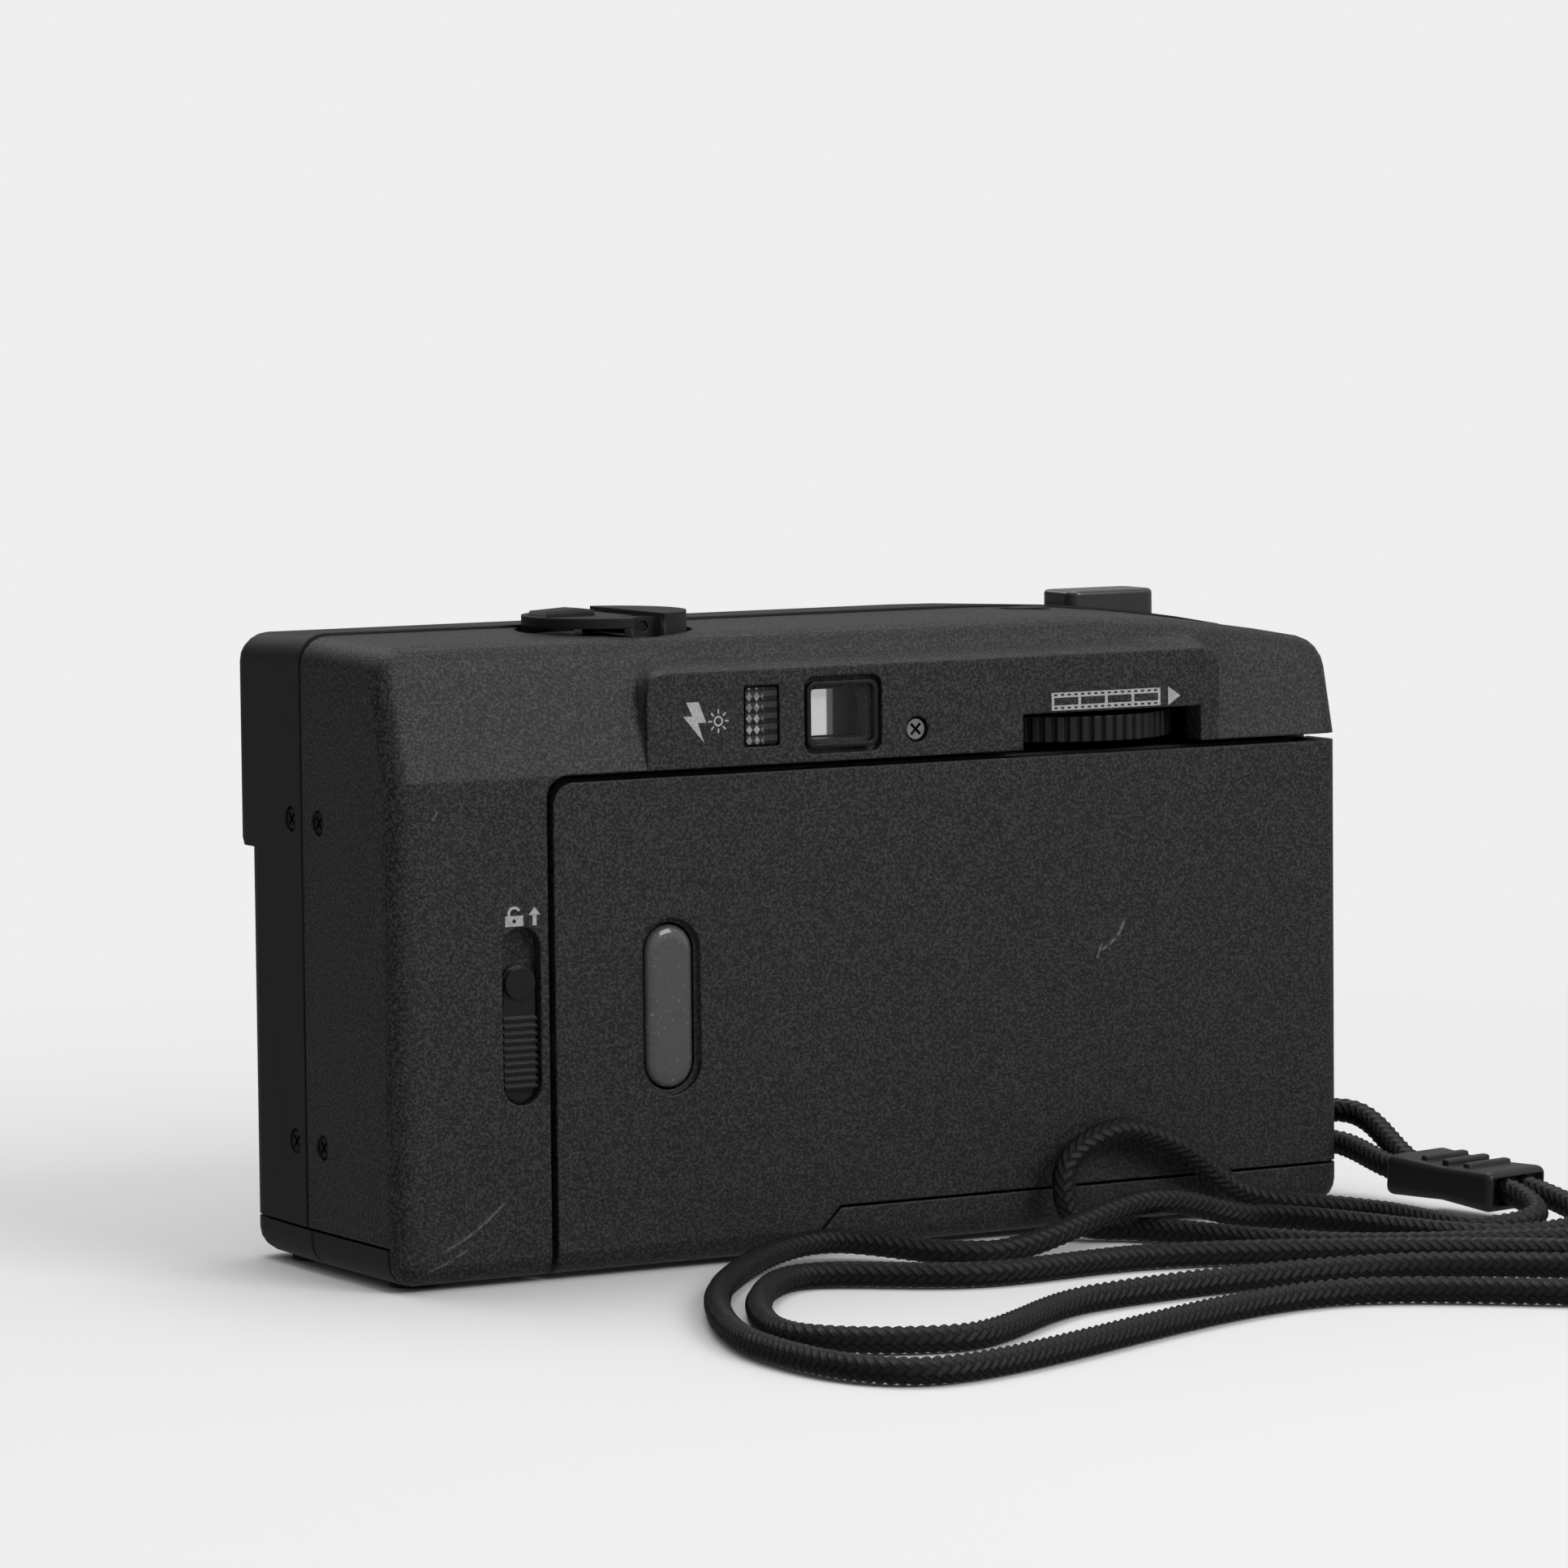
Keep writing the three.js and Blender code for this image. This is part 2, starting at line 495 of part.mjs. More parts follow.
// ---------------------------------------------------------------- shells
function buildFrontShell() {
  let shell = frontForm(SEAM_Y - SEAM_GAP / 2);
  const hollow = bodyForm(SEAM_Y + 2, FRONT_WALL_Y, WALL, FRONT_EDGE_RADIUS);
  const well = (x, z, [width, height], radius, lip, ledge) => [
    faceBlock(frame(x, z, [width, height], radius), INFRONT, ledge),
    faceBlock(frame(x, z, [width - 2 * lip, height - 2 * lip], radius / 2), INFRONT,
      LOWER_FRONT_DEPTH - WALL - 2),
  ];
  const button = roundedRing(BUTTON_X - BUTTON_SIZE[0] / 2 - RUN, BUTTON_X + BUTTON_SIZE[0] / 2 + RUN,
    BUTTON_Y - BUTTON_SIZE[1] / 2 - RUN, BUTTON_Y + BUTTON_SIZE[1] / 2 + RUN, 1.5 + RUN);
  const cuts = [
    hollow,
    batteryDoorZone(RUN),
    cylinder('y', BATTERY_HINGE_RADIUS + RUN, -FAR, FRONT_WALL_Y + 1, [BATTERY_HINGE_X, BATTERY_HINGE_Z],
      24),
    crankRecess,
    cylinder('y', LENS_SEAT_RADIUS + GAP, yAt(INFRONT), yAt(LOWER_FRONT_DEPTH - WALL - 3),
      [LENS_X, MID_Z], 48),
    ...well(EYE_X, EYE_Z, FINDER_WINDOW, 1.2, 1, UPPER_FRONT_DEPTH - 1.4),
    ...well(FLASH_X, FLASH_Z, FLASH_SIZE, 1.6, 1.2, UPPER_FRONT_DEPTH - 1.6),
    ...well(SWITCH_X, SWITCH_Z, [SWITCH_TRAVEL + 7, 4.6], 1, 1, LOWER_FRONT_DEPTH - 0.9),
    prismZ(outline(button), DOOR_TOP, FAR),
    ...feet.filter((foot) => !foot.onDoor).map(footPocket),
    ...SIDE_SCREW_HEIGHTS.map((z) => screwHole('x', LEFT, -1, [yAt(SIDE_SCREW_DEPTHS[0]), z])),
  ];
  for (const cut of cuts) {
    shell = shell.subtract(cut);
  }
  return shell;
}

function raisedPanel() {
  const corner = 2.4;
  const ring = (y, lift) => {
    const points = [[PANEL_RIGHT, y, DOOR_TOP + 0.01], [PANEL_LEFT, y, DOOR_TOP + 0.01]];
    for (const [cx, start] of [[PANEL_LEFT - corner, 0], [PANEL_RIGHT + corner, 90]]) {
      for (let i = 0; i <= 5; i += 1) {
        const turn = THREE.MathUtils.degToRad(start + 18 * i);
        points.push([cx + corner * Math.cos(turn), y, PANEL_TOP + lift - corner + corner * Math.sin(turn)]);
      }
    }
    return points;
  };
  return loft([ring(REAR, 0), ring(REAR - PANEL_DEPTH, PANEL_RAMP)]);
}

// Knuckle of a hinge ear, joined to the side wall by a web that the door never sweeps.
function hingeEar(z0, z1) {
  return cylinder('z', HINGE_RADIUS, z0, z1, [HINGE_X, HINGE_Y], 24)
    .add(box(HINGE_X - 0.8, HINGE_X + 1.9, HINGE_Y - 6, HINGE_Y, z0, z1))
    .subtract(cylinder('z', HINGE_PIN_RADIUS + 0.15, z0 - 1, z1 + 1, [HINGE_X, HINGE_Y], 16));
}

function counterOval(grow, z0, z1) {
  const oval = new THREE.Shape();
  oval.absellipse(COUNTER_X, COUNTER_Y, COUNTER_HALF[0] + grow, COUNTER_HALF[1] + grow, 0, Math.PI * 2);
  return prismZ(oval, z0, z1, 12);
}

const lugPocket = (grow) => box(RIGHT - 5 + grow, RIGHT + LUG_RECESS[2] + grow,
  LUG_Y - LUG_RECESS[0] / 2 - grow,
  LUG_Y + LUG_RECESS[0] / 2 + grow, LUG_Z - LUG_RECESS[1] / 2 - grow, LUG_Z + LUG_RECESS[1] / 2 + grow);
const latchPad = box(DOOR_LEFT + 0.2, LATCH_X + 4.4, yAt(LATCH_PAD_DEPTH), yAt(1), LATCH_Z - 13,
  LATCH_Z + 13);

function buildRearShell() {
  const outer = rearForm(0, SEAM_Y + SEAM_GAP / 2);
  let shell = outer.subtract(rearForm(WALL, SEAM_Y - 5));
  shell = shell.add(raisedPanel()).add(latchPad).add(lugPocket(1.1).intersect(outer));
  shell = shell.add(cylinder('z', TRIPOD_RADIUS + 1.6, 1.5, 4.6, [LENS_X, TRIPOD_Y], 32));
  const cuts = [
    prismY(doorFace(DOOR_GAP), yAt(DOOR_THICKNESS + 1.2), yAt(OUTSIDE)),
    box(RIGHT - 5, RIGHT + 4.6, HINGE_Y - HINGE_RADIUS - HINGE_SWING, yAt(-5), SILL_HEIGHT, DOOR_TOP),
    batteryDoorZone(RUN),
    lugPocket(0),
    crankRecess,
    faceBlock(frame(EYE_X, EYE_Z, EYE_RECESS, 1.3), 1.2, OUTSIDE),
    faceBlock(frame(EYE_X, EYE_Z, [EYE_GLASS[0] - 0.6, EYE_GLASS[1] - 0.6], 0.6), 12, OUTSIDE),
    faceBlock(frame(READY_X, READY_Z, READY_SIZE, 0.35), 1.2, OUTSIDE),
    faceBlock(frame(READY_X, READY_Z, [READY_SIZE[0] - 1.2, READY_SIZE[1] - 1.2], 0.3), 12, OUTSIDE),
    box(WHEEL_WINDOW[0], WHEEL_WINDOW[1], yAt(10), yAt(-5), DOOR_TOP - 1, WHEEL_WINDOW_TOP),
    counterOval(0.3, CROWN_HEIGHT - 1.2, FAR),
    counterOval(-0.5, DOOR_TOP + 8, FAR),
    faceBlock(pill(LATCH_X, LATCH_Z, LATCH_SLOT), LATCH_DEPTH, OUTSIDE),
    box(LATCH_X - 1.1, LATCH_X + 1.1, yAt(LATCH_PAD_DEPTH + 1), yAt(0), LATCH_Z - 5,
      LATCH_Z + 1 + LATCH_TRAVEL),
    screwHole('y', REAR - REAR_SCREW[2], -1, REAR_SCREW),
    cylinder('z', TRIPOD_RADIUS + GAP, -1, 5, [LENS_X, TRIPOD_Y], 32),
    cylinder('z', RELEASE_RADIUS + RUN, -1, 5, [RELEASE_X, RELEASE_Y], 20),
    cylinder('z', PIN_RADIUS + 0.1, LUG_Z - 6, LUG_Z + 6, [STRAP_PIN_X, LUG_Y], 16),
    cylinder('z', HINGE_PIN_RADIUS + 0.15, SILL_HEIGHT - 1.4, DOOR_TOP + 1.4, [HINGE_X, HINGE_Y], 16),
    ...feet.filter((foot) => !foot.onDoor).map(footPocket),
    ...SIDE_SCREW_HEIGHTS.map((z) => screwHole('x', LEFT, -1, [yAt(SIDE_SCREW_DEPTHS[1]), z])),
  ];
  for (const cut of cuts) {
    shell = shell.subtract(cut);
  }
  return shell.add(hingeEar(SILL_HEIGHT - 1.4, SILL_HEIGHT + EAR)).add(hingeEar(DOOR_TOP - EAR,
    DOOR_TOP + 1.4));
}

// ---------------------------------------------------------------- chassis that the shells close round
const CHASSIS_LEFT = DOOR_LEFT - 1.4;
const CHASSIS_RIGHT = TAKEUP_X - TAKEUP_CHAMBER_RADIUS - CHASSIS_WALL;
const GATE_LEFT = CASSETTE_X - CASSETTE_CHAMBER_RADIUS;
const GATE_RIGHT = TAKEUP_X + TAKEUP_CHAMBER_RADIUS;
const CHASSIS_REAR = 3.4;

function buildChassis() {
  const chamber = (x, radius) => cylinder('z', radius + CHASSIS_WALL, CHAMBER_FLOOR, CHAMBER_CEILING,
    [x, SPOOL_Y], 40)
    .subtract(box(-FAR, FAR, yAt(CHASSIS_REAR), FAR, -FAR, FAR));
  const plate = (z0, z1) => box(CHASSIS_RIGHT, CHASSIS_LEFT, yAt(TUNNEL_DEPTH), yAt(CHASSIS_REAR), z0, z1);
  const gate = box(GATE_RIGHT, GATE_LEFT, yAt(FILM_DEPTH + 2.2), yAt(FILM_DEPTH), CHAMBER_FLOOR,
    CHAMBER_CEILING);
  const tunnelHalf = [GATE_WIDTH / 2 + CHASSIS_WALL, GATE_HEIGHT / 2 + CHASSIS_WALL];
  const tunnel = box(LENS_X - tunnelHalf[0], LENS_X + tunnelHalf[0], yAt(TUNNEL_DEPTH), yAt(FILM_DEPTH + 1),
    MID_Z - tunnelHalf[1], MID_Z + tunnelHalf[1]);
  let chassis = joined([chamber(CASSETTE_X, CASSETTE_CHAMBER_RADIUS),
    chamber(TAKEUP_X, TAKEUP_CHAMBER_RADIUS),
    plate(CHAMBER_FLOOR - CHASSIS_WALL, CHAMBER_FLOOR),
      plate(CHAMBER_CEILING, CHAMBER_CEILING + CHASSIS_WALL),
    gate, tunnel]);
  const inside = (x, radius) => cylinder('z', radius, CHAMBER_FLOOR, CHAMBER_CEILING, [x, SPOOL_Y], 40)
    .add(box(x - radius, x + radius, SPOOL_Y, FAR, CHAMBER_FLOOR, CHAMBER_CEILING));
  const cuts = [
    inside(CASSETTE_X, CASSETTE_CHAMBER_RADIUS),
    inside(TAKEUP_X, TAKEUP_CHAMBER_RADIUS),
    box(LENS_X - GATE_WIDTH / 2, LENS_X + GATE_WIDTH / 2, yAt(TUNNEL_DEPTH - CHASSIS_WALL), FAR,
      MID_Z - GATE_HEIGHT / 2, MID_Z + GATE_HEIGHT / 2),
    cylinder('y', LENS_TUBE_RADIUS + 1, yAt(INFRONT), yAt(TUNNEL_DEPTH - 5), [LENS_X, MID_Z], 32),
    // sprocket bay
    cylinder('z', SPROCKET_RADIUS + 1, CHAMBER_FLOOR, CHAMBER_CEILING, [SPROCKET_X, SPROCKET_Y], 24),
    lugPocket(1.1 + GAP),
    // room for the latch hook
    box(CHASSIS_LEFT - 3.4, FAR, yAt(7), FAR, LATCH_Z - 9, LATCH_Z + 9),
    cylinder('z', SHAFT_RADIUS + RUN, CHAMBER_CEILING - 1, FAR, [CASSETTE_X, SPOOL_Y], 20),
  ];
  for (const [x, y] of [[TAKEUP_X, SPOOL_Y], [SPROCKET_X, SPROCKET_Y]]) {
    cuts.push(cylinder('z', PIN_RADIUS + RUN, -FAR, FAR, [x, y], 16));
  }
  for (const cut of cuts) {
    chassis = chassis.subtract(cut);
  }
  return chassis;
}

// ---------------------------------------------------------------- film door and what is on it
const DOOR_LIP = 3;

function buildFilmDoor() {
  const face = prismY(doorFace(0), HINGE_Y, yAt(OUTSIDE));
  const reach = box(-FAR, FAR, yAt(DOOR_LIP), FAR, -FAR, FAR)
    .add(box(-FAR, RIGHT + DOOR_THICKNESS + 0.6, HINGE_Y, FAR, -FAR, FAR));
  const low = SILL_HEIGHT + EAR + RUN;
  const high = DOOR_TOP - EAR - RUN;
  let door = rearForm(0, SEAM_Y).subtract(rearForm(DOOR_THICKNESS,
    SEAM_Y - 5)).intersect(face).intersect(reach);
  door = door.add(cylinder('z', HINGE_RADIUS, low, high, [HINGE_X, HINGE_Y], 24));
  const cuts = [
    cylinder('z', HINGE_RADIUS + RUN, -FAR, low, [HINGE_X, HINGE_Y], 24),
    cylinder('z', HINGE_RADIUS + RUN, high, FAR, [HINGE_X, HINGE_Y], 24),
    cylinder('z', HINGE_PIN_RADIUS + 0.15, -FAR, FAR, [HINGE_X, HINGE_Y], 16),
    faceBlock(pill(CASSETTE_X, PANE_Z, PANE_RECESS), PANE_RECESS_DEPTH, OUTSIDE),
    faceBlock(pill(CASSETTE_X, PANE_Z, PANE_HOLE), 12, OUTSIDE),
  ];
  for (const cut of cuts) {
    door = door.subtract(cut);
  }
  return door;
}

// Clear domed pane, let in from the inside of the door.
function buildCassetteWindow() {
  const rings = [];
  const steps = 4;
  const grown = (size, less) => [size[0] - 2 * less, size[1] - 2 * less];
  const level = (less, depth) => pill(CASSETTE_X, PANE_Z, grown(PANE_SIZE, less)).map(([x, z]) => [x,
    yAt(depth), z]);
  rings.push(level(0, DOOR_THICKNESS));
  for (let i = 0; i <= steps; i += 1) {
    const turn = ((Math.PI / 2) * i) / steps;
    rings.push(level(1.6 * (1 - Math.cos(turn)), 0.9 - 0.75 * Math.sin(turn)));
  }
  return loft(rings);
}

function buildPressurePlate() {
  const plate = faceBlock(frame(LENS_X, MID_Z, [GATE_WIDTH + 6, GATE_HEIGHT + 9], 1.5), FILM_DEPTH - 0.3,
    PLATE_BACK);
  return plate.subtract(faceBlock(frame(LENS_X, MID_Z, [GATE_WIDTH, GATE_HEIGHT], 1), FILM_DEPTH,
    FILM_DEPTH - 0.5));
}

function buildPressureSpring() {
  const across = (dx) => box(LENS_X + dx - 2.5, LENS_X + dx + 2.5, yAt(PLATE_BACK - GAP),
    yAt(DOOR_THICKNESS + GAP),
    MID_Z - 9, MID_Z + 9);
  return joined([across(-11), across(11), box(LENS_X - 12, LENS_X + 12, yAt(PLATE_BACK - GAP),
    yAt(DOOR_THICKNESS + GAP), MID_Z - 2, MID_Z + 2)]);
}

// Hook on the door that the latch holds: a foot on the door and a nose towards the latch.
function buildLatchCatch() {
  return box(DOOR_LEFT - 3.6, DOOR_LEFT - 2.2, yAt(6), yAt(DOOR_THICKNESS + GAP), LATCH_Z - 2, LATCH_Z + 2)
    .add(box(DOOR_LEFT - 5.6, DOOR_LEFT - 2.2, yAt(DOOR_THICKNESS + GAP + 0.7), yAt(DOOR_THICKNESS + GAP),
      LATCH_Z - 2, LATCH_Z + 5));
}

// ---------------------------------------------------------------- door latch
function buildLatchSlider() {
  const [width, height] = [LATCH_SLOT[0] - 2 * RUN, LATCH_SLOT[1] - LATCH_TRAVEL - 2 * RUN];
  const low = LATCH_Z - LATCH_SLOT[1] / 2 + RUN;
  const middle = low + height / 2;
  let slider = faceBlock(pill(LATCH_X, middle, [width, height]), LATCH_DEPTH - RUN / 2, 0.75);
  slider = slider.add(cylinder('y', KNOB_RADIUS, yAt(1), yAt(0.25), [LATCH_X, low + height - width / 2],
    28));
  const ribs = Math.floor((height - width - 2.2) / (2 * RIB_PITCH));
  const ribbed = faceBlock(pill(LATCH_X, middle, [width, height]), 1, 0.35);
  for (let i = 0; i < ribs; i += 1) {
    const z = low + width / 2 - 0.6 + i * 2 * RIB_PITCH;
    slider = slider.add(box(-FAR, FAR, -FAR, FAR, z, z + RIB_PITCH).intersect(ribbed));
  }
  const stem = box(LATCH_X - 0.8, LATCH_X + 0.8, yAt(LATCH_PAD_DEPTH + 0.2), yAt(1.2), LATCH_Z - 4.6,
    LATCH_Z + 0.6);
  return slider.add(stem);
}

function buildLatchHook() {
  const back = LATCH_PAD_DEPTH + 0.5;
  return box(LATCH_X - 3, LATCH_X + 3, yAt(back + 0.9), yAt(back), LATCH_Z - 7, LATCH_Z + 6)
    .add(box(DOOR_LEFT - 1.9, LATCH_X, yAt(back + 0.9), yAt(back), LATCH_Z - 5.5, LATCH_Z - 2.6));
}

// ---------------------------------------------------------------- batteries
function buildBatteryBox() {
  const xs = [CELL_X - CELL_RADIUS - 0.9, CELL_X + CELL_RADIUS + 0.7];
  let tray = box(xs[0], xs[1], yAt(CELL_DEPTHS[1] + CELL_RADIUS + 0.9),
    yAt(CELL_DEPTHS[0] - CELL_RADIUS - 0.9),
    CELL_FLOOR, CELL_FLOOR + CELL_LENGTH + 3.2);
  for (const depth of CELL_DEPTHS) {
    tray = tray.subtract(cylinder('z', CELL_RADIUS + 0.2, 0, CELL_FLOOR + CELL_LENGTH + 1.9,
      [CELL_X, yAt(depth)], 32));
  }
  return tray.subtract(contactBridge(CELL_FLOOR + CELL_LENGTH - 0.2, CELL_FLOOR + CELL_LENGTH + 1.9, GAP));
}

// A cell and its button, the button up or down.
function buildCell(depth, buttonUp) {
  const span = CELL_LENGTH;
  const profile = [[0, 0], [CELL_RADIUS - 0.6, 0], [CELL_RADIUS, 0.6], [CELL_RADIUS, span - 1.4],
    [CELL_RADIUS - 0.6, span - 1], [2.7, span - 1], [2.7, span], [0, span]];
  const start = CELL_FLOOR + 0.4;
  const placed = buttonUp ? profile.map(([r, h]) => [r, h + start])
    : profile.map(([r, h]) => [r, start + span - h]).reverse();
  return turned('z', placed, [CELL_X, yAt(depth)], 24);
}

function contactBridge(z0, z1, grow = 0) {
  return box(CELL_X - 4 - grow, CELL_X + 4 + grow, yAt(CELL_DEPTHS[1] + 4 + grow),
    yAt(CELL_DEPTHS[0] - 4 - grow), z0, z1);
}

function buildBatteryDoor() {
  const outer = rearForm(0, SEAM_Y - 1).add(frontForm(SEAM_Y + 1));
  const hollow = rearForm(WALL, SEAM_Y - 5).add(bodyForm(SEAM_Y + 2, FRONT_WALL_Y, WALL,
    FRONT_EDGE_RADIUS));
  let door = outer.subtract(hollow).intersect(batteryDoorZone(0));
  const [from, to] = BATTERY_HINGE_SPAN;
  // the door's inner edge is its hinge barrel, and the corners beside it are cut back
  door = door.subtract(box(-FAR, BATTERY_HINGE_X, -FAR, FAR, -FAR, FAR));
  door = door.add(cylinder('y', BATTERY_HINGE_RADIUS, from, to, [BATTERY_HINGE_X, BATTERY_HINGE_Z], 24));
  const knuckleRoom = (y0, y1) => cylinder('y', BATTERY_HINGE_RADIUS + RUN, y0, y1,
    [BATTERY_HINGE_X, BATTERY_HINGE_Z], 24);
  door = door.subtract(knuckleRoom(-FAR, from).add(knuckleRoom(to, FAR)));
  door = door.subtract(cylinder('y', PIN_RADIUS + 0.1, from - 1, to + 1,
    [BATTERY_HINGE_X, BATTERY_HINGE_Z], 16));
  for (const foot of feet.filter((each) => each.onDoor)) {
    door = door.subtract(footPocket(foot));
  }
  return door;
}

const batteryKnuckle = (y0, y1) => cylinder('y', BATTERY_HINGE_RADIUS, y0, y1,
  [BATTERY_HINGE_X, BATTERY_HINGE_Z], 24)
  .add(box(BATTERY_DOOR_X - RUN - 1, BATTERY_HINGE_X, y0, y1, BATTERY_HINGE_Z - 0.9, BATTERY_HINGE_Z + 0.3))
  .subtract(cylinder('y', PIN_RADIUS + 0.1, y0 - 1, y1 + 1, [BATTERY_HINGE_X, BATTERY_HINGE_Z], 16));

// ---------------------------------------------------------------- small turned and screwed pieces
function buildScrew(axis, seat, inward, place) {
  const head = [seat - inward * SCREW_HEAD_HEIGHT, seat];
  const shank = [seat, seat + inward * 1.1];
  const top = Math.min(...head);
  const screw = cylinder(axis, SCREW_HEAD_RADIUS, top, Math.max(...head), place, 16)
    .add(cylinder(axis, SCREW_SHANK_RADIUS, Math.min(...shank) - 0.2, Math.max(...shank), place, 12));
  const slot = (turn) => {
    const bar = new THREE.BoxGeometry(SCREW_HEAD_RADIUS * 1.5, 0.34, 0.7);
    bar.rotateZ(turn);
    if (axis === 'x') {
      bar.rotateY(Math.PI / 2);
      bar.translate(head[0], place[0], place[1]);
    } else {
      bar.rotateX(Math.PI / 2);
      bar.translate(place[0], head[0], place[1]);
    }
    return toSolid(bar);
  };
  return screw.subtract(slot(Math.PI / 4)).subtract(slot(-Math.PI / 4));
}

function ridgedWheel() {
  const ring = [];
  const step = (Math.PI * 2) / WHEEL_RIDGES;
  for (let i = 0; i < WHEEL_RIDGES; i += 1) {
    for (const [share, radius] of [[0, WHEEL_RADIUS - 0.5], [0.22, WHEEL_RADIUS], [0.72, WHEEL_RADIUS],
      [0.94, WHEEL_RADIUS - 0.5]]) {
      const turn = step * (i + share);
      ring.push([WHEEL_X + radius * Math.cos(turn), WHEEL_Y + radius * Math.sin(turn)]);
    }
  }
  return prismZ(outline(ring), WHEEL_Z, WHEEL_Z + WHEEL_THICKNESS);
}

function buildSprocket() {
  let drum = cylinder('z', SPROCKET_RADIUS - 1.2, CHAMBER_FLOOR + GAP, CHAMBER_CEILING - GAP,
    [SPROCKET_X, SPROCKET_Y], 20);
  for (const z of [MID_Z - 14.2, MID_Z + 14.2]) {
    drum = drum.add(cylinder('z', SPROCKET_RADIUS - 0.4, z - 1.8, z + 1.8, [SPROCKET_X, SPROCKET_Y], 20));
    for (let i = 0; i < 8; i += 1) {
      const tooth = new THREE.BoxGeometry(1.1, 1.3, 1.2);
      tooth.translate(SPROCKET_RADIUS - 0.55, 0, 0);
      tooth.rotateZ((Math.PI / 4) * i);
      tooth.translate(SPROCKET_X, SPROCKET_Y, z);
      drum = drum.add(toSolid(tooth));
    }
  }
  return drum.add(cylinder('z', PIN_RADIUS, CHAMBER_FLOOR - 1.2, CHAMBER_CEILING + 1.2,
    [SPROCKET_X, SPROCKET_Y], 12));
}

function buildTakeupSpool() {
  let spool = cylinder('z', SPOOL_RADIUS, CHAMBER_FLOOR + GAP, CHAMBER_CEILING - GAP, [TAKEUP_X, SPOOL_Y],
    28);
  spool = spool.add(cylinder('z', SPOOL_RADIUS + 2.2, CHAMBER_FLOOR + GAP, CHAMBER_FLOOR + 1.5,
    [TAKEUP_X, SPOOL_Y], 28));
  spool = spool.subtract(box(TAKEUP_X - 0.5, TAKEUP_X + 0.5, SPOOL_Y, FAR, MID_Z - 12, MID_Z + 12));
  return spool.add(cylinder('z', PIN_RADIUS, CHAMBER_FLOOR - 1.2, CHAMBER_CEILING + 1.2,
    [TAKEUP_X, SPOOL_Y], 12));
}

// ---------------------------------------------------------------- rewind
const CRANK_TOP = CROWN_HEIGHT + 1.4;
const CRANK_PIN = [CASSETTE_X - 1.4, CROWN_HEIGHT + 0.15]; // X and Z

const rewindAxis = [CASSETTE_X, SPOOL_Y];

function buildRewindKnob() {
  const base = cylinder('z', CRANK_RADIUS, CRANK_FLOOR + RUN, CRANK_TOP - 2.6, rewindAxis, 48);
  const lobe = cylinder('z', CRANK_RADIUS, CRANK_TOP - 3, CRANK_TOP + 0.3, rewindAxis, 48)
    .intersect(box(-FAR, CASSETTE_X - 3.2, -FAR, FAR, -FAR, FAR));
  const cheek = (side) => box(CRANK_PIN[0] - 2.2, CRANK_PIN[0] + 1.4, SPOOL_Y + side * 6.2 - 1,
    SPOOL_Y + side * 6.2 + 1,
    CRANK_TOP - 3, CRANK_PIN[1] + 1.1);
  const bore = cylinder('y', CRANK_PIN_RADIUS + 0.1, SPOOL_Y - 9, SPOOL_Y + 9, CRANK_PIN, 12);
  return joined([base, lobe, cheek(-1), cheek(1)]).subtract(bore)
    .add(cylinder('z', SHAFT_RADIUS, CHAMBER_CEILING - 1, CRANK_FLOOR + 1, rewindAxis, 20));
}

function buildRewindCrank() {
  const plate = cylinder('z', CRANK_RADIUS - 0.2, CRANK_TOP - 1.3, CRANK_TOP - 0.1, rewindAxis, 48)
    .intersect(box(CRANK_PIN[0] + 1.9, FAR, -FAR, FAR, -FAR, FAR));
  const arm = box(CRANK_PIN[0], CRANK_PIN[0] + 6, SPOOL_Y - 4.7, SPOOL_Y + 4.7, CRANK_TOP - 1.3,
    CRANK_TOP - 0.1)
    .add(cylinder('y', 1.05, SPOOL_Y - 4.7, SPOOL_Y + 4.7, CRANK_PIN, 16));
  const tab = prismY(outline([[CASSETTE_X + 2, CRANK_TOP - 0.6],
    [CASSETTE_X + CRANK_RADIUS - 0.9, CRANK_TOP - 0.6],
    [CASSETTE_X + CRANK_RADIUS - 1.2, CRANK_TOP + 0.5], [CASSETTE_X + 4, CRANK_TOP + 0.75],
    [CASSETTE_X + 2.3, CRANK_TOP + 0.6]]), SPOOL_Y - 2.1, SPOOL_Y + 2.1);
  return joined([plate, arm, tab]).subtract(
    cylinder('y', CRANK_PIN_RADIUS + 0.1, SPOOL_Y - 9, SPOOL_Y + 9, CRANK_PIN, 12));
}

function buildRewindFork() {
  const collar = cylinder('z', 4, CHAMBER_CEILING - 2.4, CHAMBER_CEILING - 1 - GAP, rewindAxis, 24);
  const blade = box(CASSETTE_X - 2.9, CASSETTE_X + 2.9, SPOOL_Y - 0.6, SPOOL_Y + 0.6,
    CHAMBER_CEILING - 8.5, CHAMBER_CEILING - 2);
  return collar.add(blade);
}

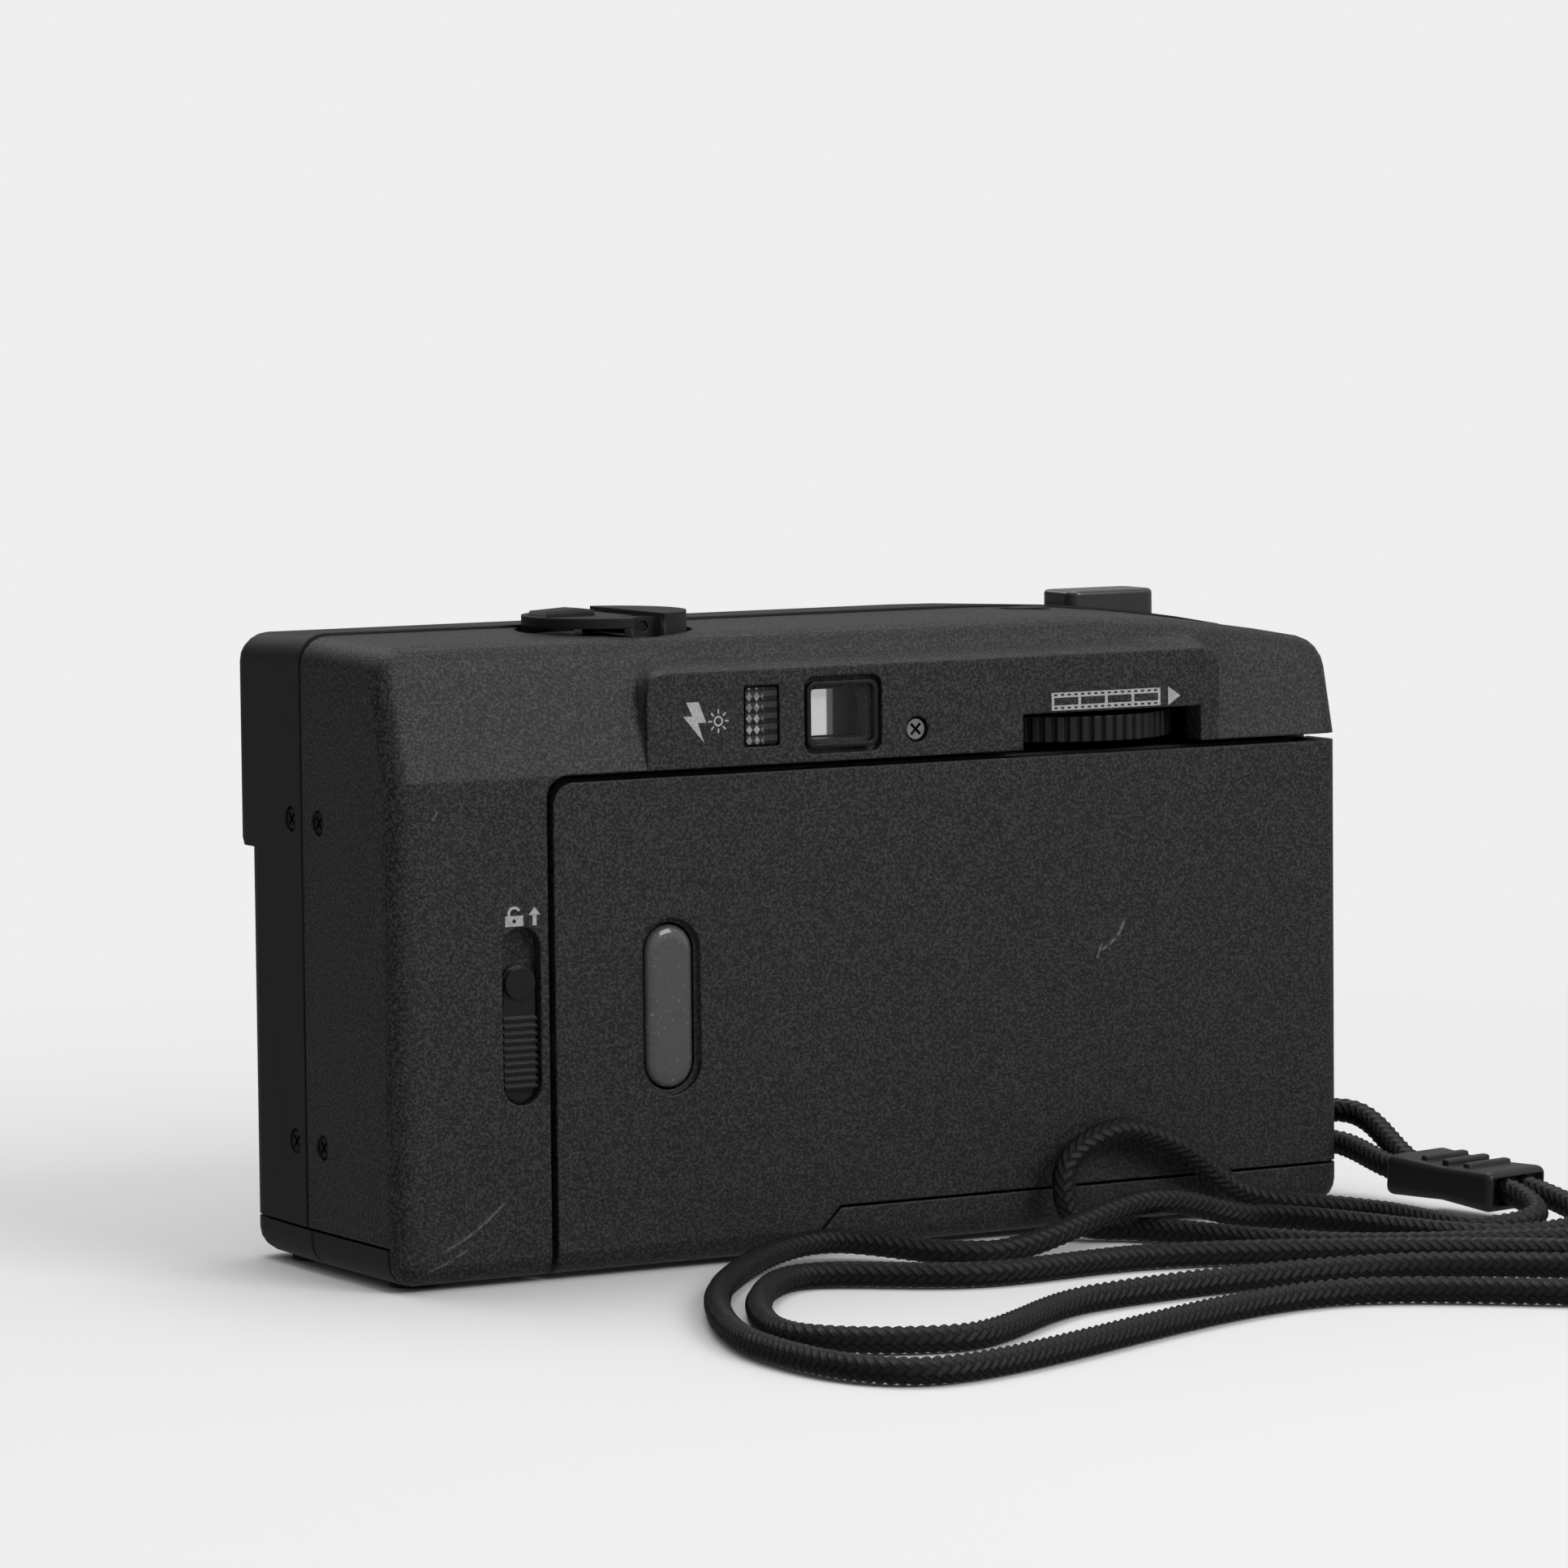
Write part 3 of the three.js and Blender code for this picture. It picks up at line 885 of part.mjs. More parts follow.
// ---------------------------------------------------------------- lens and shutter
function buildLensBarrel() {
  const inner = LENS_TUBE_RADIUS - 1.5;
  const profile = [
    [inner, LOWER_FRONT_DEPTH - 6.4], [LENS_TUBE_RADIUS, LOWER_FRONT_DEPTH - 6.4],
    [LENS_TUBE_RADIUS, LOWER_FRONT_DEPTH - 2.2], [LENS_SEAT_RADIUS, LOWER_FRONT_DEPTH - 2.2],
    [LENS_SEAT_RADIUS, LOWER_FRONT_DEPTH + GAP], [LENS_RING_RADIUS, LOWER_FRONT_DEPTH + GAP],
    [LENS_RING_RADIUS, LOWER_FRONT_DEPTH + 3.4], [LENS_RING_RADIUS - 1.6, OVERALL_DEPTH - 0.6],
    [LENS_RING_RADIUS - 2.6, OVERALL_DEPTH], [LENS_RING_RADIUS - 4, OVERALL_DEPTH],
    [FRONT_GLASS_RADIUS + GAP, OVERALL_DEPTH - 4.4], [FRONT_GLASS_RADIUS + GAP, OVERALL_DEPTH - 7],
    [inner, OVERALL_DEPTH - 7.6], [inner, LOWER_FRONT_DEPTH - 6.4],
  ];
  return turned('y', profile.map(([r, depth]) => [r, yAt(depth)]).reverse(), [LENS_X, MID_Z], 48);
}

function lensElement(radius, middleDepth, edge, bulge) {
  const profile = [[0, yAt(middleDepth + edge / 2 + bulge)]];
  for (let i = 4; i >= 0; i -= 1) {
    const share = i / 5;
    profile.push([radius * Math.sqrt(1 - share * share), yAt(middleDepth + edge / 2 + bulge * share)]);
  }
  profile.push([radius, yAt(middleDepth - edge / 2)], [0, yAt(middleDepth - edge / 2)]);
  return turned('y', profile, [LENS_X, MID_Z], 32);
}

function buildShutterPlate() {
  return cylinder('y', 11.6, yAt(SHUTTER_DEPTH + 0.8), yAt(SHUTTER_DEPTH), [LENS_X, MID_Z], 36)
    .subtract(cylinder('y', 3.4, yAt(INFRONT), yAt(10), [LENS_X, MID_Z], 24));
}

function buildShutterBlade() {
  const depths = [SHUTTER_DEPTH + 1.6, SHUTTER_DEPTH + 1.2];
  const [px, pz] = BLADE_PIVOT;
  const arm = faceBlock([[px - 1.4, pz - 1.4], [px + 1.4, pz - 1.4], [LENS_X + 3.6, MID_Z + 4],
    [LENS_X - 4, MID_Z + 3.6],
    [LENS_X - 4, MID_Z - 3.6], [LENS_X + 3.4, MID_Z - 4]], depths[0], depths[1]);
  const hub = cylinder('y', 1.4, yAt(depths[0]), yAt(depths[1]), [px, pz], 16);
  return arm.add(hub).subtract(cylinder('y', 0.6, yAt(INFRONT), yAt(10), [px, pz], 12));
}

// ---------------------------------------------------------------- windows, finder and flash
function eyeRing(size, radius, fromDepth, toDepth) {
  return faceBlock(frame(EYE_X, EYE_Z, size, radius), fromDepth, toDepth);
}

function buildEyepieceFrame() {
  return eyeRing([EYE_GLASS[0] + 1.3, EYE_GLASS[1] + 1.3], 1.1, 1.2 - GAP, 0.1)
    .subtract(eyeRing([EYE_GLASS[0] + 0.3, EYE_GLASS[1] + 0.3], 0.8, 2, -1));
}

function buildFlashReflector() {
  const [width, height] = [FLASH_SIZE[0] - 4, FLASH_SIZE[1] - 4];
  const bowl = prismX(outline([
    [yAt(40.4), FLASH_Z - height / 2], [yAt(40.4), FLASH_Z + height / 2], [yAt(35), FLASH_Z + 3],
      [yAt(34), FLASH_Z],
    [yAt(35), FLASH_Z - 3],
  ]), FLASH_X - width / 2, FLASH_X + width / 2);
  const inner = prismX(outline([
    [yAt(42), FLASH_Z - height / 2 + 0.4], [yAt(42), FLASH_Z + height / 2 - 0.4],
      [yAt(40), FLASH_Z + height / 2 - 0.6],
    [yAt(35.8), FLASH_Z + 2.4], [yAt(35), FLASH_Z], [yAt(35.8), FLASH_Z - 2.4],
      [yAt(40), FLASH_Z - height / 2 + 0.6],
  ]), FLASH_X - width / 2 + 0.7, FLASH_X + width / 2 - 0.7);
  return bowl.subtract(inner);
}

function buildFinderTube() {
  const outerSize = [FINDER_WINDOW[0] - 2.6, FINDER_WINDOW[1] - 2.6];
  const block = faceBlock(frame(EYE_X, EYE_Z, outerSize, 0.6), 40.4, 5.2);
  return block.subtract(faceBlock(frame(EYE_X, EYE_Z, [outerSize[0] - 1.6, outerSize[1] - 1.6], 0.4),
    INFRONT, 0));
}

// ---------------------------------------------------------------- strap
// One braided cord: out of the lug, through the slider, round its loops on the table and back.
const FLOOR = CORD_DIAMETER / 2 + 0.1; // height of the middle of a cord that lies on the table
const OVER = FLOOR + 1.15 * CORD_DIAMETER; // and of one that lies across another
const CORD_ROUTE = [
  [-63.7, 5.9, 5.5], [-68.6, 13.5, 6.8], [-68.2, 30, 5], [-71.9, 46.9, 4.2], [-69.8, 55, 2.4],
  [-61.5, 55.5, FLOOR], [-58.5, 36, FLOOR], [-48, 26.4, 3.4], [-38, 26.3, 10], [-29.5, 26.5, 12.4],
  [-22.2, 27, 8.6], [-22.4, 28.6, 2.6], [-28.5, 34, FLOOR], [-41, 57, FLOOR], [-77, 76, FLOOR],
  [-68.5, 93.5, FLOOR], [-36, 74, FLOOR], [4, 75, FLOOR], [31, 90.5, FLOOR], [45, 80, FLOOR],
  [24, 43.7, FLOOR], [6, 53, FLOOR], [-20, 53, FLOOR], [-60, 76, FLOOR], [-67, 92, OVER],
  [-52, 106, FLOOR], [-20, 86.5, FLOOR], [46, 107, FLOOR], [51.5, 84, FLOOR], [32, 42, FLOOR],
  [11, 27.5, 2.6], [-4, 40, FLOOR], [-29, 35, OVER], [-45, 32.5, FLOOR], [-60, 62, FLOOR],
  [-73.5, 60, 2], [-75.2, 46.1, 4.2], [-71.4, 29.2, 5], [-71.8, 13.5, 10.2], [-63.7, 5.9, 9.1],
];
const CORD_STEPS = 100;

function buildCord() {
  const route = new THREE.CatmullRomCurve3(CORD_ROUTE.map((point) => new THREE.Vector3(...point)));
  const laid = route.getSpacedPoints(CORD_STEPS * 4);
  for (const point of laid) {
    point.z = Math.max(point.z, FLOOR);
  }
  const section = new THREE.Shape();
  section.absarc(0, 0, CORD_DIAMETER / 2, 0, Math.PI * 2);
  return toSolid(new THREE.ExtrudeGeometry(section, {
    extrudePath: new THREE.CatmullRomCurve3(laid), steps: CORD_STEPS, curveSegments: 4, bevelEnabled: false,
  }));
}

const SLIDER_ENDS = [[-69.8, 29.6, 5], [-73.6, 46.5, 4.2]];

function buildStrapSlider() {
  const [from, to] = SLIDER_ENDS.map((end) => new THREE.Vector3(...end));
  const [length, width, height] = SLIDER_SIZE;
  let slider = toSolid(new THREE.BoxGeometry(length, width, height));
  slider = slider.subtract(toSolid(new THREE.BoxGeometry(length + 2, 2 * CORD_DIAMETER + 1.4,
    CORD_DIAMETER + 1)));
  for (const dx of [-0.2, 0, 0.2]) {
    const rib = new THREE.BoxGeometry(1.1, width - 2, 0.5);
    rib.translate(dx * length, 0, height / 2 + 0.15);
    slider = slider.add(toSolid(rib));
  }
  const geometry = toGeometry(slider);
  const along = new THREE.Vector3().subVectors(to, from).normalize();
  const across = new THREE.Vector3(0, 0, 1).cross(along).normalize();
  const up = new THREE.Vector3().crossVectors(along, across);
  geometry.applyMatrix4(new THREE.Matrix4().makeBasis(along, across, up));
  geometry.translate(...from.add(to).multiplyScalar(0.5));
  return geometry;
}

// ---------------------------------------------------------------- assembly
piece('front_shell', buildFrontShell().add(batteryKnuckle(BATTERY_HINGE_SPAN[0] - 3.4,
  BATTERY_HINGE_SPAN[0] - RUN)
  .subtract(box(-FAR, FAR, SEAM_Y, FAR, -FAR, FAR))), 'black');
piece('rear_shell', buildRearShell().add(batteryKnuckle(BATTERY_HINGE_SPAN[1] + RUN,
  BATTERY_HINGE_SPAN[1] + 5)),
  'grained');
piece('chassis', buildChassis(), 'black');
piece('film_door', buildFilmDoor(), 'grained');
piece('cassette_window', buildCassetteWindow(), 'clear');
piece('pressure_plate', buildPressurePlate(), 'black');
piece('pressure_spring', buildPressureSpring(), 'steel');
piece('hinge_pin', cylinder('z', HINGE_PIN_RADIUS, SILL_HEIGHT - 1.2, DOOR_TOP + 1.2, [HINGE_X, HINGE_Y],
  16), 'steel');
piece('latch_slider', buildLatchSlider(), 'grained');
piece('latch_hook', buildLatchHook(), 'steel');
piece('latch_catch', buildLatchCatch(), 'steel');
piece('battery_box', buildBatteryBox(), 'black');
piece('battery_door', buildBatteryDoor(), 'black');
piece('battery_door_pin', cylinder('y', PIN_RADIUS, BATTERY_HINGE_SPAN[0] - 3, BATTERY_HINGE_SPAN[1] + 4.6,
  [BATTERY_HINGE_X, BATTERY_HINGE_Z], 16), 'steel');
piece('battery_rear', buildCell(CELL_DEPTHS[0], true), 'cell');
piece('battery_front', buildCell(CELL_DEPTHS[1], false), 'cell');
piece('battery_contact_top', contactBridge(CELL_FLOOR + CELL_LENGTH + 0.7,
  CELL_FLOOR + CELL_LENGTH + 1.3), 'steel');
piece('battery_contact_door', contactBridge(FOOT_HEIGHT + WALL + GAP, CELL_FLOOR - GAP), 'brass');
piece('flash_window', faceBlock(frame(FLASH_X, FLASH_Z,
  [FLASH_SIZE[0] - 2 * GAP, FLASH_SIZE[1] - 2 * GAP], 1.3),
  UPPER_FRONT_DEPTH - 0.4, UPPER_FRONT_DEPTH - 1.4), 'clear');
piece('flash_reflector', buildFlashReflector(), 'steel');
piece('flash_tube', cylinder('x', 0.9, FLASH_X - 10, FLASH_X + 10, [yAt(37.6), FLASH_Z], 14), 'white');
piece('flash_capacitor', cylinder('z', 4.3, 12, 44, [TAKEUP_X - 4.4, yAt(34)], 24).intersect(
  box(-FAR, FAR, yAt(37.1), FAR, -FAR, FAR)), 'black');
piece('circuit_board', box(LENS_X + 16, CHASSIS_LEFT - 1, yAt(36.2), yAt(35.2), 10, 52), 'board');
piece('ready_window', faceBlock(frame(READY_X, READY_Z,
  [READY_SIZE[0] - 2 * GAP, READY_SIZE[1] - 2 * GAP], 0.3),
  1.2 - GAP, 0.15), 'clear');
piece('ready_lamp', cylinder('y', 1.5, yAt(9.5), yAt(5.6), [READY_X, READY_Z], 16), 'lamp');
piece('eyepiece_frame', buildEyepieceFrame(), 'gloss');
piece('eyepiece_lens', eyeRing(EYE_GLASS, 0.7, 1.2 - GAP, 0.5), 'clear');
piece('finder_window', faceBlock(frame(EYE_X, EYE_Z, [FINDER_WINDOW[0] - 2 * GAP,
  FINDER_WINDOW[1] - 2 * GAP], 1),
  UPPER_FRONT_DEPTH - 0.4, UPPER_FRONT_DEPTH - 1.2), 'clear');
piece('finder_tube', buildFinderTube(), 'black');
piece('counter_window', counterOval(0, CROWN_HEIGHT - 1, CROWN_HEIGHT - 0.35), 'clear');
piece('counter_dial', cylinder('z', DIAL_RADIUS, DIAL_Z, DIAL_Z + 0.8, [WHEEL_X, WHEEL_Y], 36).subtract(
  cylinder('z', 1.8 + RUN, 0, FAR, [WHEEL_X, WHEEL_Y], 16)), 'white');
piece('advance_wheel', ridgedWheel().add(cylinder('z', 1.8, WHEEL_Z + 1, DIAL_Z + 1.2, [WHEEL_X, WHEEL_Y],
  16)), 'black');
piece('takeup_spool', buildTakeupSpool(), 'black');
piece('sprocket', buildSprocket(), 'black');
piece('rewind_knob', buildRewindKnob(), 'black');
piece('rewind_crank', buildRewindCrank(), 'black');
piece('rewind_fork', buildRewindFork(), 'black');
piece('crank_pin', cylinder('y', CRANK_PIN_RADIUS, SPOOL_Y - 7, SPOOL_Y + 7, CRANK_PIN, 12), 'steel');
piece('shutter_button', prismZ(outline(roundedRing(BUTTON_X - BUTTON_SIZE[0] / 2,
  BUTTON_X + BUTTON_SIZE[0] / 2,
  BUTTON_Y - BUTTON_SIZE[1] / 2, BUTTON_Y + BUTTON_SIZE[1] / 2, 1.5)), BUTTON_TOP - 7, BUTTON_TOP),
    'gloss');
piece('shutter_spring', cylinder('z', 2.2, DOOR_TOP + 0.5, BUTTON_TOP - 7 - GAP, [BUTTON_X, BUTTON_Y],
  20).subtract(
  cylinder('z', 1.6, 0, FAR, [BUTTON_X, BUTTON_Y], 20)), 'steel');
piece('lens_barrel', buildLensBarrel(), 'black');
piece('front_element', lensElement(FRONT_GLASS_RADIUS, OVERALL_DEPTH - 6, 1.4, 0.9), 'clear');
piece('rear_element', lensElement(LENS_TUBE_RADIUS - 1.5 - GAP, LOWER_FRONT_DEPTH - 3.6, 1.4, 0.5),
  'clear');
piece('shutter_plate', buildShutterPlate(), 'black');
piece('shutter_blade', buildShutterBlade(), 'steel');
piece('flash_switch', faceBlock(frame(SWITCH_X - SWITCH_TRAVEL / 2, SWITCH_Z, [6.2, 3.9], 0.8),
  LOWER_FRONT_DEPTH + 1.1,
    LOWER_FRONT_DEPTH - 0.9 + GAP).add(faceBlock(frame(SWITCH_X - SWITCH_TRAVEL / 2, SWITCH_Z,
  [3.6, 1.9], 0.4), LOWER_FRONT_DEPTH, LOWER_FRONT_DEPTH - WALL - 0.3)), 'black');
piece('tripod_socket', cylinder('z', TRIPOD_RADIUS, FOOT_HEIGHT, 5.9, [LENS_X, TRIPOD_Y], 32).subtract(
  cylinder('z', TRIPOD_THREAD_RADIUS, 0, 4.9, [LENS_X, TRIPOD_Y], 24)), 'brass');
piece('rewind_release_button', cylinder('z', RELEASE_RADIUS, FOOT_HEIGHT + 0.2, 5, [RELEASE_X, RELEASE_Y],
  20), 'black');
piece('strap_pin', cylinder('z', PIN_RADIUS, LUG_Z - 5.4, LUG_Z + 5.4, [STRAP_PIN_X, LUG_Y], 16), 'steel');
for (const foot of feet) {
  piece(foot.name, cylinder('z', FOOT_RADIUS, 0, FOOT_THICKNESS, [foot.x, foot.y], 20), 'rubber');
}
SIDE_SCREW_DEPTHS.forEach((depth, row) => {
  SIDE_SCREW_HEIGHTS.forEach((z, column) => {
    const name = `side_screw_${['front', 'rear'][row]}_${['high', 'low'][column]}`;
    piece(name, buildScrew('x', LEFT - 1.25 + 0.2, -1, [yAt(depth), z]), 'steel');
  });
});
piece('strap_slider', buildStrapSlider(), 'gloss');
piece('strap_cord', buildCord(), 'cord');
piece('rear_screw', buildScrew('y', REAR - REAR_SCREW[2] - 1.25 + 0.2, -1, REAR_SCREW), 'steel');

export default camera;
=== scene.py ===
import json
import math

import bpy
from mathutils import Matrix, Vector


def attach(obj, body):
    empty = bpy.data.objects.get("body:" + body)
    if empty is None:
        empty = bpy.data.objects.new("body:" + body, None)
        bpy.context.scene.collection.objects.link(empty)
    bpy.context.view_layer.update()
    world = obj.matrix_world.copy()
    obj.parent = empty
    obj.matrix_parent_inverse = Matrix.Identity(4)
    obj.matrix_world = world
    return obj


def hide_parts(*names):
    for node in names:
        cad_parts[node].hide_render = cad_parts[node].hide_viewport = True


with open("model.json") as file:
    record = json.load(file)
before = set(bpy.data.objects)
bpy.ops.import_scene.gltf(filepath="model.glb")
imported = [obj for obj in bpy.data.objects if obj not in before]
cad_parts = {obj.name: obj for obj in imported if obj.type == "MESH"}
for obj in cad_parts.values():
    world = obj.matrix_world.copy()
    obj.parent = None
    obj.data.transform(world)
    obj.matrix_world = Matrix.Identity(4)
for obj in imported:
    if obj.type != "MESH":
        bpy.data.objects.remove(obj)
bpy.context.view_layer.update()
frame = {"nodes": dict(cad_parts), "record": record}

# ---------------------------------------------------------------- camera, floor and light
# A long lens about three quarters of a metre away, a little above the table, and a pale
# table lit by soft lamps: one high and to the right, one behind, and a broad sun overhead.
bpy.ops.object.select_all(action="DESELECT")
eye = bpy.data.cameras.new("eye")
eye.lens = 166.873
eye.sensor_width = 36
eye.clip_start = 0.05
camera = bpy.data.objects.new("eye", eye)
camera.location = (0.427355, 0.749853, 0.125368)
camera.rotation_euler = [math.radians(turn) for turn in (85.226, 0.5815, 150.283)]
bpy.context.collection.objects.link(camera)
bpy.context.scene.camera = camera

scene = bpy.context.scene
scene.view_settings.view_transform = "Standard"
world = bpy.data.worlds.new("pale_room")
world.use_nodes = True
scene.world = world
room = world.node_tree
sky = room.nodes["Background"]
sky.inputs["Color"].default_value = (1, 1, 1, 1)
way = room.nodes.new("ShaderNodeTexCoord")
side = room.nodes.new("ShaderNodeVectorMath")
side.operation = "DOT_PRODUCT"
side.inputs[1].default_value = (-0.62, 0.55, 0.56)
room.links.new(way.outputs["Generated"], side.inputs[0])
fade = room.nodes.new("ShaderNodeMapRange")
fade.inputs["From Min"].default_value = -0.7
fade.inputs["From Max"].default_value = 1.0
fade.inputs["To Min"].default_value = 0.03
fade.inputs["To Max"].default_value = 0.62
room.links.new(side.outputs["Value"], fade.inputs["Value"])
path = room.nodes.new("ShaderNodeLightPath")
seen = room.nodes.new("ShaderNodeMix")
seen.inputs[3].default_value = 0.861
room.links.new(path.outputs["Is Camera Ray"], seen.inputs[0])
room.links.new(fade.outputs["Result"], seen.inputs[2])
room.links.new(seen.outputs[0], sky.inputs["Strength"])


def soft_lamp(name, place, aim, size, watts):
    lamp = bpy.data.lights.new(name, "AREA")
    lamp.shape = "RECTANGLE"
    lamp.size, lamp.size_y = size
    lamp.energy = watts
    holder = bpy.data.objects.new(name, lamp)
    holder.location = place
    holder.rotation_euler = (Vector(aim) - Vector(place)).to_track_quat("-Z", "Y").to_euler()
    bpy.context.collection.objects.link(holder)


soft_lamp("lamp_rear_face", (-0.35, 1.0, 0.75), (0, 0, 0.035), (0.6, 0.6), 6.0)
soft_lamp("lamp_behind", (0.25, -0.8, 0.7), (0, 0, 0.06), (0.9, 0.35), 1.3)
overhead = bpy.data.lights.new("lamp_overhead", "SUN")
overhead.energy = 1.1
overhead.angle = math.radians(42)
hung = bpy.data.objects.new("lamp_overhead", overhead)
hung.rotation_euler = (math.radians(17), math.radians(-5), 0)
bpy.context.collection.objects.link(hung)

bpy.ops.mesh.primitive_circle_add(vertices=64, radius=7, fill_type="NGON", location=(0, 0, 0))
table = bpy.context.object
table.name = "table_top"
pale = bpy.data.materials.new("pale_table")
pale.use_nodes = True
top = pale.node_tree
top.nodes.remove(top.nodes["Principled BSDF"])
paper = top.nodes.new("ShaderNodeBsdfDiffuse")
paper.inputs["Color"].default_value = (0.86, 0.86, 0.86, 1)
far_paper = top.nodes.new("ShaderNodeEmission")
far_paper.inputs["Strength"].default_value = 0.861
spot = top.nodes.new("ShaderNodeTexCoord")
reach = top.nodes.new("ShaderNodeVectorMath")
reach.operation = "LENGTH"
top.links.new(spot.outputs["Object"], reach.inputs[0])
spread = top.nodes.new("ShaderNodeMapRange")
spread.interpolation_type = "SMOOTHSTEP"
spread.inputs["From Min"].default_value = 0.14
spread.inputs["From Max"].default_value = 0.34
top.links.new(reach.outputs["Value"], spread.inputs["Value"])
paper_blend = top.nodes.new("ShaderNodeMixShader")
top.links.new(spread.outputs["Result"], paper_blend.inputs[0])
top.links.new(paper.outputs[0], paper_blend.inputs[1])
top.links.new(far_paper.outputs[0], paper_blend.inputs[2])
dull_paper = top.nodes.new("ShaderNodeEmission")
dull_paper.inputs["Strength"].default_value = 0.2
glance = top.nodes.new("ShaderNodeLightPath")
glance_blend = top.nodes.new("ShaderNodeMixShader")
top.links.new(glance.outputs["Is Glossy Ray"], glance_blend.inputs[0])
top.links.new(paper_blend.outputs[0], glance_blend.inputs[1])
top.links.new(dull_paper.outputs[0], glance_blend.inputs[2])
top.links.new(glance_blend.outputs[0], top.nodes["Material Output"].inputs["Surface"])
table.data.materials.append(pale)

# ---------------------------------------------------------------- strap cord
# One black braided nylon cord, 3 mm thick. It is threaded behind the steel pin in the corner
# of the shell, goes through the slider and lies on the table in limp loops.
cord_thick = 0.003
on_table = 0.0016
over_cord = 0.00505
cord_route = [
    (-0.0637, 0.0059, 0.0055), (-0.0686, 0.0135, 0.0068), (-0.0682, 0.03, 0.005),
    (-0.0719, 0.0469, 0.0042), (-0.0698, 0.055, 0.0024), (-0.0615, 0.0555, on_table),
    (-0.0585, 0.036, on_table), (-0.048, 0.0264, 0.0034), (-0.038, 0.0263, 0.01),
    (-0.0295, 0.0265, 0.0124), (-0.0222, 0.027, 0.0086), (-0.0224, 0.0286, 0.0026),
    (-0.0285, 0.034, on_table), (-0.041, 0.057, on_table), (-0.077, 0.076, on_table),
    (-0.0685, 0.0935, on_table), (-0.036, 0.074, on_table), (0.004, 0.075, on_table),
    (0.031, 0.0905, on_table), (0.045, 0.08, on_table), (0.024, 0.0437, on_table),
    (0.006, 0.053, on_table), (-0.02, 0.053, on_table), (-0.06, 0.076, on_table),
    (-0.067, 0.092, over_cord), (-0.052, 0.106, on_table), (-0.02, 0.0865, on_table),
    (0.046, 0.107, on_table), (0.0515, 0.084, on_table), (0.032, 0.042, on_table),
    (0.011, 0.0275, 0.0026), (-0.004, 0.04, on_table), (-0.029, 0.035, over_cord),
    (-0.045, 0.0325, on_table), (-0.06, 0.062, on_table), (-0.0735, 0.06, 0.002),
    (-0.0752, 0.0461, 0.0042), (-0.0714, 0.0292, 0.005), (-0.0718, 0.0135, 0.0102),
    (-0.0637, 0.0059, 0.0091),
]


def smooth_line(points, spacing):
    """Even steps along a centripetal curve through the points, kept off the table."""
    points = [Vector(point) for point in points]
    points = [2 * points[0] - points[1], *points, 2 * points[-1] - points[-2]]
    fine = []
    for a, b, c, d in zip(points, points[1:], points[2:], points[3:]):
        ta, tb = 0.0, max((b - a).length, 1e-9) ** 0.5
        tc = tb + max((c - b).length, 1e-9) ** 0.5
        td = tc + max((d - c).length, 1e-9) ** 0.5
        for step in range(40):
            t = tb + (tc - tb) * step / 40
            ab = a * ((tb - t) / (tb - ta)) + b * ((t - ta) / (tb - ta))
            bc = b * ((tc - t) / (tc - tb)) + c * ((t - tb) / (tc - tb))
            cd = c * ((td - t) / (td - tc)) + d * ((t - tc) / (td - tc))
            abc = ab * ((tc - t) / (tc - ta)) + bc * ((t - ta) / (tc - ta))
            bcd = bc * ((td - t) / (td - tb)) + cd * ((t - tb) / (td - tb))
            fine.append(abc * ((tc - t) / (tc - tb)) + bcd * ((t - tb) / (tc - tb)))
    fine.append(points[-2])
    for point in fine:
        point.z = max(point.z, on_table)
    along = [0.0]
    for a, b in zip(fine, fine[1:]):
        along.append(along[-1] + (b - a).length)
    count = round(along[-1] / spacing)
    even, j = [], 0
    for i in range(count + 1):
        want = along[-1] * i / count
        while j + 2 < len(along) and along[j + 1] < want:
            j += 1
        share = (want - along[j]) / max(along[j + 1] - along[j], 1e-12)
        even.append(fine[j].lerp(fine[j + 1], min(max(share, 0), 1)))
    return even, along[-1]


def plait_height(around, along):
    """Height of the braid from 0 to 1. Each plait lies over two of the other direction."""
    a = around * plaits + along / plait_pitch
    b = around * plaits - along / plait_pitch
    crossing = (math.floor(a) + math.floor(b)) % 4
    across, lengthways = a - math.floor(a), b - math.floor(b)
    if crossing > 1:
        across, lengthways = lengthways, across
    lengthways = (crossing % 2 + lengthways) / 2
    return math.sin(math.pi * across) ** 0.7 * (0.3 + 0.7 * math.sin(math.pi * lengthways) ** 0.7)


plaits = 8
plait_pitch = 0.00125
ring_step = 0.00026
cord_line, cord_length = smooth_line(cord_route, ring_step)
cord_sides = 24
corners, faces, shares = [], [], []
up = Vector((0, 0, 1))
for i, point in enumerate(cord_line):
    ahead = (cord_line[min(i + 1, len(cord_line) - 1)] - cord_line[max(i - 1, 0)]).normalized()
    up = (up - ahead * up.dot(ahead)).normalized()
    across = ahead.cross(up)
    for k in range(cord_sides):
        around = k / cord_sides
        height = plait_height(around, i * ring_step)
        radius = cord_thick / 2 * (0.78 + 0.25 * height)
        turn = math.tau * around
        spot = point + (across * math.cos(turn) + up * math.sin(turn)) * radius
        spot.z = max(spot.z, 0.00012)
        corners.append(spot)
for i in range(len(cord_line) - 1):
    for k in range(cord_sides):
        n = (k + 1) % cord_sides
        faces.append((i * cord_sides + k, i * cord_sides + n, (i + 1) * cord_sides + n, (i + 1) * cord_sides + k))
        v0, v1 = i * ring_step, (i + 1) * ring_step
        shares += [(k / cord_sides, v0), ((k + 1) / cord_sides, v0), ((k + 1) / cord_sides, v1), (k / cord_sides, v1)]
last = (len(cord_line) - 1) * cord_sides
faces.append(tuple(reversed(range(cord_sides))))
faces.append(tuple(range(last, last + cord_sides)))
shares += [(0, 0)] * (2 * cord_sides)
